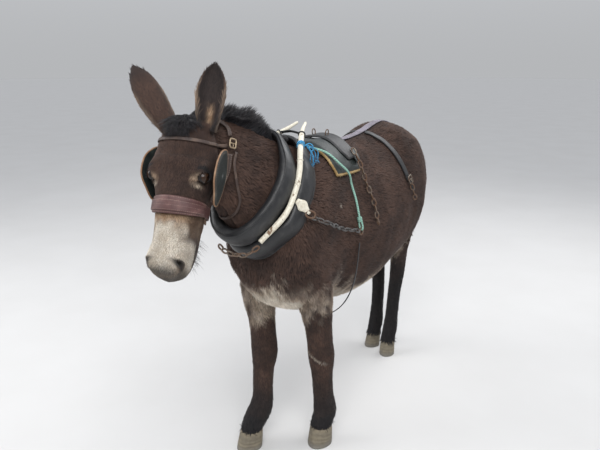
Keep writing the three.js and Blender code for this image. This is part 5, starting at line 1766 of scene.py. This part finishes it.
def saddlePanel():
    setup = saddleSetup["pad"]
    rows, columns = 57, 29
    degrees = np.linspace(setup["from"], setup["to"], rows)
    shifts = np.linspace(-1, 1, columns)
    low, top = np.zeros((rows, columns, 3)), np.zeros((rows, columns, 3))
    for i, d in enumerate(degrees):
        toSide = abs(d - 90) / 45
        trimmed = 1 - 0.10 * eased(0.75, 1.0, toSide)
        for j, s in enumerate(shifts):
            y = setup["y"] + s * trimmed * setup["wide"] / 2
            spot, way = acrossBack(y, setup["z"], d, setup["lift"])
            rim = min((1 - abs(s)) / 0.16, (1 - toSide) / 0.10, 1)
            full = math.sqrt(max(1 - (1 - max(rim, 0)) ** 2, 0.0))
            channel = math.exp(-((d - 90) / 5.5) ** 2) * 0.45
            quilt = 0.16 * abs(math.sin((s + 1) * math.pi * 2.0)) + 0.84
            rise = setup["thick"] * (0.22 + 0.78 * full * quilt) * (1 - channel)
            low[i, j] = spot
            top[i, j] = spot + way * rise / 1000
    flat = top.reshape(-1, 3)
    flat = flat + np.array([0, 0, 1.0]) * (wobble(flat, 0.03, 41) * 0.6 / 1000)[:, None]
    count = rows * columns
    upper = gridFaces(rows, columns, False, False)
    lower = upper[:, ::-1] + count
    border = ([(0, j) for j in range(columns)] + [(i, columns - 1) for i in range(1, rows)]
              + [(rows - 1, j) for j in range(columns - 2, -1, -1)] + [(i, 0) for i in range(rows - 2, 0, -1)])
    ids = np.array([i * columns + j for i, j in border])
    nexts = np.roll(ids, -1)
    rim = np.stack([ids, nexts, nexts + count, ids + count], 1)
    spots = np.vstack([flat, low.reshape(-1, 3)])
    run = np.stack(np.meshgrid(np.arange(rows) * 0.006, np.arange(columns) * 0.0075, indexing="ij"), 2).reshape(-1, 2)
    piece = cleanObject("saddlePanel", [(spots, np.vstack([upper, lower, rim]), np.vstack([run, run]))], leatherGreen)
    place(piece, "saddle_pad", slot="saddle_cloth")
    return top, low


def saddleTrim(top, low):
    # worn straw-coloured welting along both lower ends and the front edge, frayed where it has rubbed
    rows = len(top)
    middle = (top + low) / 2
    mixer = np.random.default_rng(9)
    for side, i in (("left", 0), ("right", rows - 1)):
        inner = range(0, rows // 3) if i == 0 else range(rows - 1, rows - 1 - rows // 3, -1)
        front = np.array([middle[k, 0] for k in reversed(list(inner))])
        bottom = middle[i]
        line = smoothPath(np.vstack([front, bottom[1:]]), 90)
        swell = 1 + 0.25 * np.sin(np.arange(90) * 1.9) * 0.5
        parts = [tube(line, 4.6, 10, taper=swell)]
        for _ in range(170):
            k = mixer.integers(8, 82)
            way = heading(line)[k] * mixer.normal(0, 1) + np.array([0, 0, -0.7]) + mixer.normal(0, 0.35, 3)
            start = line[k] + mixer.normal(0, 0.0015, 3)
            end = start + unit(way) * mixer.uniform(0.004, 0.010)
            parts.append(tube(np.array([start, (start + end) / 2 + mixer.normal(0, 0.0007, 3), end]), 0.45, 3))
        place(cleanObject(f"saddleWelt_{side}", parts, strawTrim), slot="saddle_cloth")


def saddleSeat():
    setup = saddleSetup["seat"]
    degrees = np.linspace(setup["from"], setup["to"], 49)
    path = np.array([acrossBack(setup["y"], setup["z"], d, setup["lift"])[0] for d in degrees])
    out = np.array([acrossBack(setup["y"], setup["z"], d, 0)[1] for d in degrees])
    side = np.tile([0, 1.0, 0], (len(path), 1))
    u = np.linspace(-1, 1, 49)
    x = np.linspace(-1, 1, 15)
    ridge = 2.4 * bell(np.abs(x) - 0.86, 0.13)
    upper = np.stack([x[::-1] * setup["wide"] / 2, setup["thick"] * (1 - 0.5 * np.abs(x) ** 8) + ridge], 1)
    section = np.vstack([upper, np.stack([x * setup["wide"] / 2 * 0.985, np.zeros(15)], 1)])
    narrowing = 1 - 0.45 * eased(0.72, 1.0, np.abs(u)) ** 1.3
    body = swept(path, side, out, section, False, np.stack([narrowing, np.ones(49)], 1))
    place(cleanObject("saddleSeat", [body], leatherBlack), "saddle_tree", slot="black_leather")
    rows = []
    for across in (-33, 33):
        rows += stitchRow(path, side, out, np.zeros((49, 2)), across * 0.9, 40, setup["thick"] + 0.4, 0.008, 0.7)
    rings = []
    for k in (20, 28):        # terrets that the reins would run through
        rings.append(oval(path[k] + out[k] * 0.015, side[k], out[k], 13, 13, 2.0, 28, 8, 2))
    place(cleanObject("saddleStitches", rows, threadDark), slot="black_leather")
    place(cleanObject("saddleTerrets", rings, steelFinish), slot="worn_steel")


def saddleFlaps():
    # a stiff grey flap hangs behind the seat on each side, where the back chain hooks on
    for sideName, sign in bothSides:
        corners = [([84, -150, 1080], 26), ([116, -154, 1052], 27), ([138, -146, 1022], 26), ([128, -108, 1034], 22),
                   ([104, -96, 1064], 22)]
        outline = mirroredX(smoothPath(offCoatRow(corners), 40, True), sign)
        middle = outline.mean(0)
        normal = onCoat(middle)[1]
        scales = (1.0, 0.97, 0.8, 0.5, 0.0)
        upper = [middle + (outline - middle) * s + normal * (0.0022 if s < 1 else 0.0008) for s in scales]
        lower = [middle + (outline - middle) * s - normal * 0.0016 for s in scales[::-1][:-1]] + [outline]
        spots = np.vstack(upper + lower)
        faces = gridFaces(len(upper) + len(lower), len(outline), True)
        place(cleanObject(f"saddleFlap_{sideName}", [(spots, faces, np.zeros((len(spots), 2)))], leatherGreen),
              slot="black_leather")


panelTop, panelLow = saddlePanel()
saddleTrim(panelTop, panelLow)
saddleSeat()
saddleFlaps()
print("saddle")


# flat straps
def strapPiece(name, node, path, width, thick, lift, finish, thread=None, margin=3.2, slot="black_leather"):
    built, line, side, out, drop = laidStrap(path, width, thick, lift)
    place(cleanObject(name, [built], finish), *([node] if node else []), slot=slot)
    if thread:
        rows = []
        for x in (-width / 2 + margin, width / 2 - margin):
            rows += stitchRow(line, side, out, drop, x, width / 2, thick * 0.98)
        place(cleanObject(f"{name}Stitches", rows, thread), slot=slot)


bodyStrapSetup = {
    "spine": [[0, -92, 1120], [0, 80, 1110], [0, 300, 1140], [0, 480, 1070], [0, 530, 1010]],
    "keeper": [[-26, -70, 1120], [0, -72, 1124], [26, -70, 1120]],
    "hip": [[24, 150, 1110], [82, 175, 1075], [120, 190, 1036], [164, 212, 963], [184, 228, 905]],
    "belly": {"y": -212, "height": 760, "degrees": (184, 356), "snug": 6, "slack": 62, "width": 13, "thick": 3.6},
}


def makeBodyStraps():
    spine, keeper, hip = (bodyStrapSetup[key] for key in ("spine", "keeper", "hip"))
    strapPiece("backStrap", "back_strap", smoothPath(metres(spine), 90), 32, 4.2, 3, webGrey, threadPale, 3,
               "grey_webbing")
    strapPiece("backStrapKeeper", None, smoothPath(metres(keeper), 12), 15, 3.6, 8.4, leatherBlack)
    for side, sign in bothSides:
        path = mirroredX(smoothPath(metres(hip), 56), sign)
        strapPiece(f"hipStrap_{side}", f"hip_strap_{side}", path, 25, 4.4, 3, leatherBlack, threadDark)
        buckle = offCoat(hip[-1], 15)
        normal = onCoat(buckle)[1]
        down = unit(np.cross(normal, np.cross([0, 0.3, -1.0], normal)))
        buckle, normal, down = (mirroredX(buckle, sign), normal * [sign, 1, 1], down * [sign, 1, 1])
        across = np.cross(normal, down)
        parts = [oval(buckle, down, across, 19, 17, 2.5, 32, 8, 5),
                 tube(np.array([buckle - across * 0.0145, buckle + across * 0.0145]), 1.9, 8),
                 tube(np.array([buckle + normal * 0.001, buckle + down * 0.009 + normal * 0.003,
                                buckle + down * 0.0175 + normal * 0.0022]), 1.6, 8)]
        place(cleanObject(f"hipBuckle_{side}", parts, steelFinish), f"hip_buckle_{side}", slot="worn_steel")
        endPath = np.array([buckle + down * t + across * 0.010 * t / 0.05 for t in (0.0, 0.02, 0.04, 0.056)])
        strapPiece(f"hipStrapEnd_{side}", None, smoothPath(endPath, 14), 19, 3.2, 11, leatherBlack)
        hanging = mirroredX(offCoatRow(tugSetup["hipChain"]), sign)
        links = chainLinks(hanging, np.array([float(sign), 0, 0]), 24, 10, 2.8, 8)
        place(cleanObject(f"hipChain_{side}", links, steelFinish), f"hip_chain_{side}", slot="worn_steel")


def makeBellyStrap():
    # it hangs slack between the two tug rings, below the belly
    belly = bodyStrapSetup["belly"]
    path, out = [], []
    for d in np.linspace(*belly["degrees"], 110):
        slack = belly["snug"] + belly["slack"] * max(-math.sin(math.radians(d)), 0) ** 3
        spot, way = acrossBack(belly["y"], belly["height"], d, slack)
        path.append(spot)
        out.append(way)
    path, out = np.array(path), np.array(out)
    for _ in range(10):
        path[1:-1] = 0.5 * path[1:-1] + 0.25 * (path[:-2] + path[2:])
    side = np.tile([0, 1.0, 0], (len(path), 1))
    twist = 0.35 * np.sin(np.linspace(0, 5, len(path)))
    turned = unit(side * np.cos(twist)[:, None] + out * np.sin(twist)[:, None])
    upward = unit(np.cross(heading(path), turned))
    upward *= np.sign(np.sum(upward * out, axis=1))[:, None]
    body = swept(path, turned, upward, strapSection(belly["width"], belly["thick"]))
    place(cleanObject("bellyStrap", [body], leatherBlack), "belly_strap", slot="black_leather")


makeBodyStraps()
makeBellyStrap()
print("body straps")


# bridle
# rows of places down the face, out of it and to its left; the throat strap's are on the body
bridleSetup = {
    "crown": [[24, -134, 76], [4, -126, 68], [-14, -108, 44], [-24, -92, 0]],
    "brow": [[50, -122, 88], [56, -84, 93], [64, -40, 84], [66, -8, 44], [66, 0, 0]],
    "cheek": [[72, -141, 80], [130, -138, 90], [220, -116, 80]],
    "throatEnd": [[66, -168, 78]],
    "throat": [[16, -712, 1080], [24, -712, 1025], [20, -700, 972], [-48, -688, 925], [-98, -696, 968],
               [-120, -706, 1025], [-138, -714, 1078]],
    "blinker": [[74, -108, 104], [78, -60, 114], [114, -22, 122], [166, -16, 122], [204, -42, 115],
                [232, -68, 106], [226, -100, 101], [150, -114, 107]],
    "blinkerScales": (1.0, 0.965, 0.86, 0.64, 0.4, 0.18, 0.0),
    "blinkerCup": 0.0045,
    "blinkerPressed": {"left": 0, "right": 14},
    "noseband": {"down": 252, "wide": 36, "thick": 4.6, "upperWide": 23, "upperThick": 3.4, "upper": slice(2, 69)},
    "buckle": (42, -140, 84),
    "ring": (277, -116, 66),
}


def headRow(rows, sign=1):
    return np.array([onHead(d, o, sign * l) for d, o, l in rows])


def overHead(half):
    return np.vstack([headRow(half), headRow(half[:-1], -1)[::-1]])


def noseRing(down, stand, count=140):
    centre = onHead(down, -86, 0)
    spots, ways = [], []
    for d in np.linspace(0, 2 * np.pi, count, endpoint=False):
        way = faceLeft * math.cos(d) + faceOut * math.sin(d)
        spots.append(coatRay(centre, way) + way * stand / 1000)
        ways.append(way)
    return np.array(spots), np.array(ways)


def makeNoseband():
    nose = bridleSetup["noseband"]
    path, out = noseRing(nose["down"], 3.2)
    for _ in range(12):
        path = 0.5 * path + 0.25 * (np.roll(path, 1, 0) + np.roll(path, -1, 0))
    side = np.tile(-faceDown, (len(path), 1))
    angle = np.linspace(0, 2 * np.pi, len(path), endpoint=False)
    wide = 1 + 0.42 * np.maximum(np.sin(angle), 0)
    section = strapSection(nose["wide"], nose["thick"], 1.4, 9)
    parts = [swept(path, side, out, section, True, np.stack([wide, np.ones(len(path))], 1))]
    # a second, narrower layer is sewn on top across the nose
    layer = nose["upper"]
    upper = path[layer] + out[layer] * 0.0046 - side[layer] * 0.002
    spread = np.stack([wide[layer], 1 - 0.9 * eased(0.85, 1, np.abs(np.linspace(-1, 1, len(upper))))], 1)
    section = strapSection(nose["upperWide"], nose["upperThick"], 1.2, 9)
    parts.append(swept(upper, side[layer], out[layer], section, False, spread))
    place(cleanObject("noseband", parts, leatherBrown), "noseband", slot="brown_leather")
    rows = []
    flatDrop = np.zeros((len(path), 2))
    for edge in (-15.2, 15.2):
        line = path + side * (edge * wide[:, None] / 1000)
        rows += stitchRow(line, side, out, flatDrop, 0, 18, 4.7, 0.0058, 0.5)
    for edge in (-9.2, 0.0, 9.2):
        line = upper + side[layer] * (edge * wide[layer][:, None] / 1000)
        rows += stitchRow(line, side[layer], out[layer], flatDrop[layer], 0, 18, 3.45, 0.0052, 0.5)
    place(cleanObject("nosebandStitches", rows, threadPale), slot="brown_leather")


def makeBlinker(sideName, sign):
    corners = np.array(bridleSetup["blinker"]) - [0, 0, bridleSetup["blinkerPressed"][sideName]]
    outline = smoothPath(headRow(corners, sign), 72, True)
    middle = outline.mean(0)
    out = faceLeft * sign
    scales, cup = bridleSetup["blinkerScales"], bridleSetup["blinkerCup"]

    def layer(scale, lift):
        return middle + (outline - middle) * scale + out * (lift + cup * (1 - scale ** 2))

    rows = [layer(s, 0.0050 if s < 0.99 else 0.0038) for s in scales] + [layer(s, 0.0006) for s in scales[::-1]]
    spots = np.vstack(rows)
    panel = (spots, gridFaces(len(rows), len(outline), True), np.zeros((len(spots), 2)))
    place(cleanObject(f"blinker_{sideName}Panel", [panel], leatherGreen), f"blinker_{sideName}", slot="black_leather")
    rim = layer(1.0, 0.0026)
    place(cleanObject(f"blinkerEdge_{sideName}", [tube(rim, 2.6, 8, True)], leatherTan), slot="brown_leather")
    line = layer(0.90, 0.0055)
    side = unit(np.cross(heading(line, True), np.tile(out, (len(line), 1))))
    rows = stitchRow(line, side, np.tile(out, (len(line), 1)), np.zeros((len(line), 2)), 0, 5, 0.4, 0.0062, 0.6)
    place(cleanObject(f"blinkerStitches_{sideName}", rows, threadPale), slot="brown_leather")


def makeBridle():
    makeNoseband()
    crown, brow, cheek, end = (bridleSetup[key] for key in ("crown", "brow", "cheek", "throatEnd"))
    strapPiece("crownStrap", "crown_strap", smoothPath(overHead(crown), 50), 15, 3.6, 4.0, leatherStrap, threadPale)
    strapPiece("browband", "browband", smoothPath(overHead(brow), 70), 10.5, 3.2, 1.2, leatherStrap, None, 2.4,
               "brown_leather")
    throat = np.vstack([headRow(end), metres(bridleSetup["throat"]), headRow(end, -1)])
    strapPiece("throatStrap", "throat_strap", smoothPath(throat, 90), 8.5, 3.2, 3.0, leatherStrap, None)
    for side, sign in bothSides:
        strapPiece(f"cheekStrap_{side}", f"cheek_strap_{side}", smoothPath(headRow(cheek, sign), 34), 16, 3.8, 3,
                   leatherStrap, threadPale)
        makeBlinker(side, sign)
        at, normal = onCoat(headRow([bridleSetup["buckle"]], sign)[0], 9)
        long = unit(faceDown - normal * (faceDown @ normal))
        wide = np.cross(normal, long)
        parts = [oval(at, long, wide, 16, 13, 2.4, 30, 8, 5),
                 tube(np.array([at - wide * 0.011, at + wide * 0.011]), 1.7, 8),
                 tube(np.array([at, at + long * 0.008 + normal * 0.0025, at + long * 0.0148 + normal * 0.002]), 1.4, 8)]
        place(cleanObject(f"bridleBuckle_{side}", parts, brassPale), f"bridle_buckle_{side}", slot="worn_steel")
        at, normal = onCoat(headRow([bridleSetup["ring"]], sign)[0], 7)
        ring = oval(at, faceDown + normal * 0.2, np.cross(normal, faceDown), 13, 12, 2.2, 28, 8, 2)
        place(cleanObject(f"noseRing_{side}", [ring], steelFinish), slot="worn_steel")


makeBridle()
print("bridle")


# floor and light
studioSetup = {
    "floorRings": (0, 1.5, 3, 6, 12, 25, 55), "sky": (0.90, 0.93, 0.98), "haze": (0.566, 0.577, 0.594),
    "skyStrength": 0.82,
    "lamps": [   # place, power, size
        ((1.6, -2.6, 3.6), 120, 2.6),
        ((-3.0, -1.6, 2.6), 60, 2.4),
        ((1.0, 2.6, 3.4), 70, 2.4),
    ],
}


def layFloor():
    finish = Finish("paleFloor", Roughness=0.85)
    grain = finish.noise(2.0, 3).clipped(0.2, 0.8)
    colour = finish.colour((0.60, 0.592, 0.582)).tinted(grain, (0.625, 0.618, 0.610))
    material = finish.done(colour, bump=finish.noise(90.0, 4), depth=0.002, strength=0.12)
    turns = np.linspace(0, 2 * np.pi, 96, endpoint=False)
    rings = [np.stack([r * np.cos(turns), r * np.sin(turns), turns * 0], 1) for r in studioSetup["floorRings"]]
    faces = gridFaces(len(rings), 96, False)
    floor = cleanObject("floor", [(np.vstack(rings), faces, np.zeros((len(rings) * 96, 2)))], material)


def light():
    world = bpy.data.worlds.new("sky")
    scene.world = world
    world.use_nodes = True
    # the sky is as grey as the far floor at the horizon and pale overhead
    base = Shade(world.node_tree, None)
    height = base.node("SeparateXYZ", None, {0: base.node("TexCoord", None, None, "Generated")}, 2)
    sky = base.node("Mix", {"data_type": "RGBA"}, {0: height.clipped(-0.02, 0.45), 6: (*studioSetup["haze"], 1),
                                                   7: (*studioSetup["sky"], 1)}, 2)
    background = world.node_tree.nodes["Background"]
    world.node_tree.links.new(sky.socket, background.inputs["Color"])
    background.inputs["Strength"].default_value = studioSetup["skyStrength"]
    for i, (at, power, size) in enumerate(studioSetup["lamps"]):
        lamp = bpy.data.lights.new(f"lamp{i}", "AREA")
        lamp.energy, lamp.size = power, size
        holder = bpy.data.objects.new(f"lamp{i}", lamp)
        holder.location = at
        holder.rotation_euler = (Vector((0, 0, 0.7)) - Vector(at)).to_track_quat("-Z", "Y").to_euler()
        scene.collection.objects.link(holder)


layFloor()
light()
scene.view_settings.view_transform = "Standard"
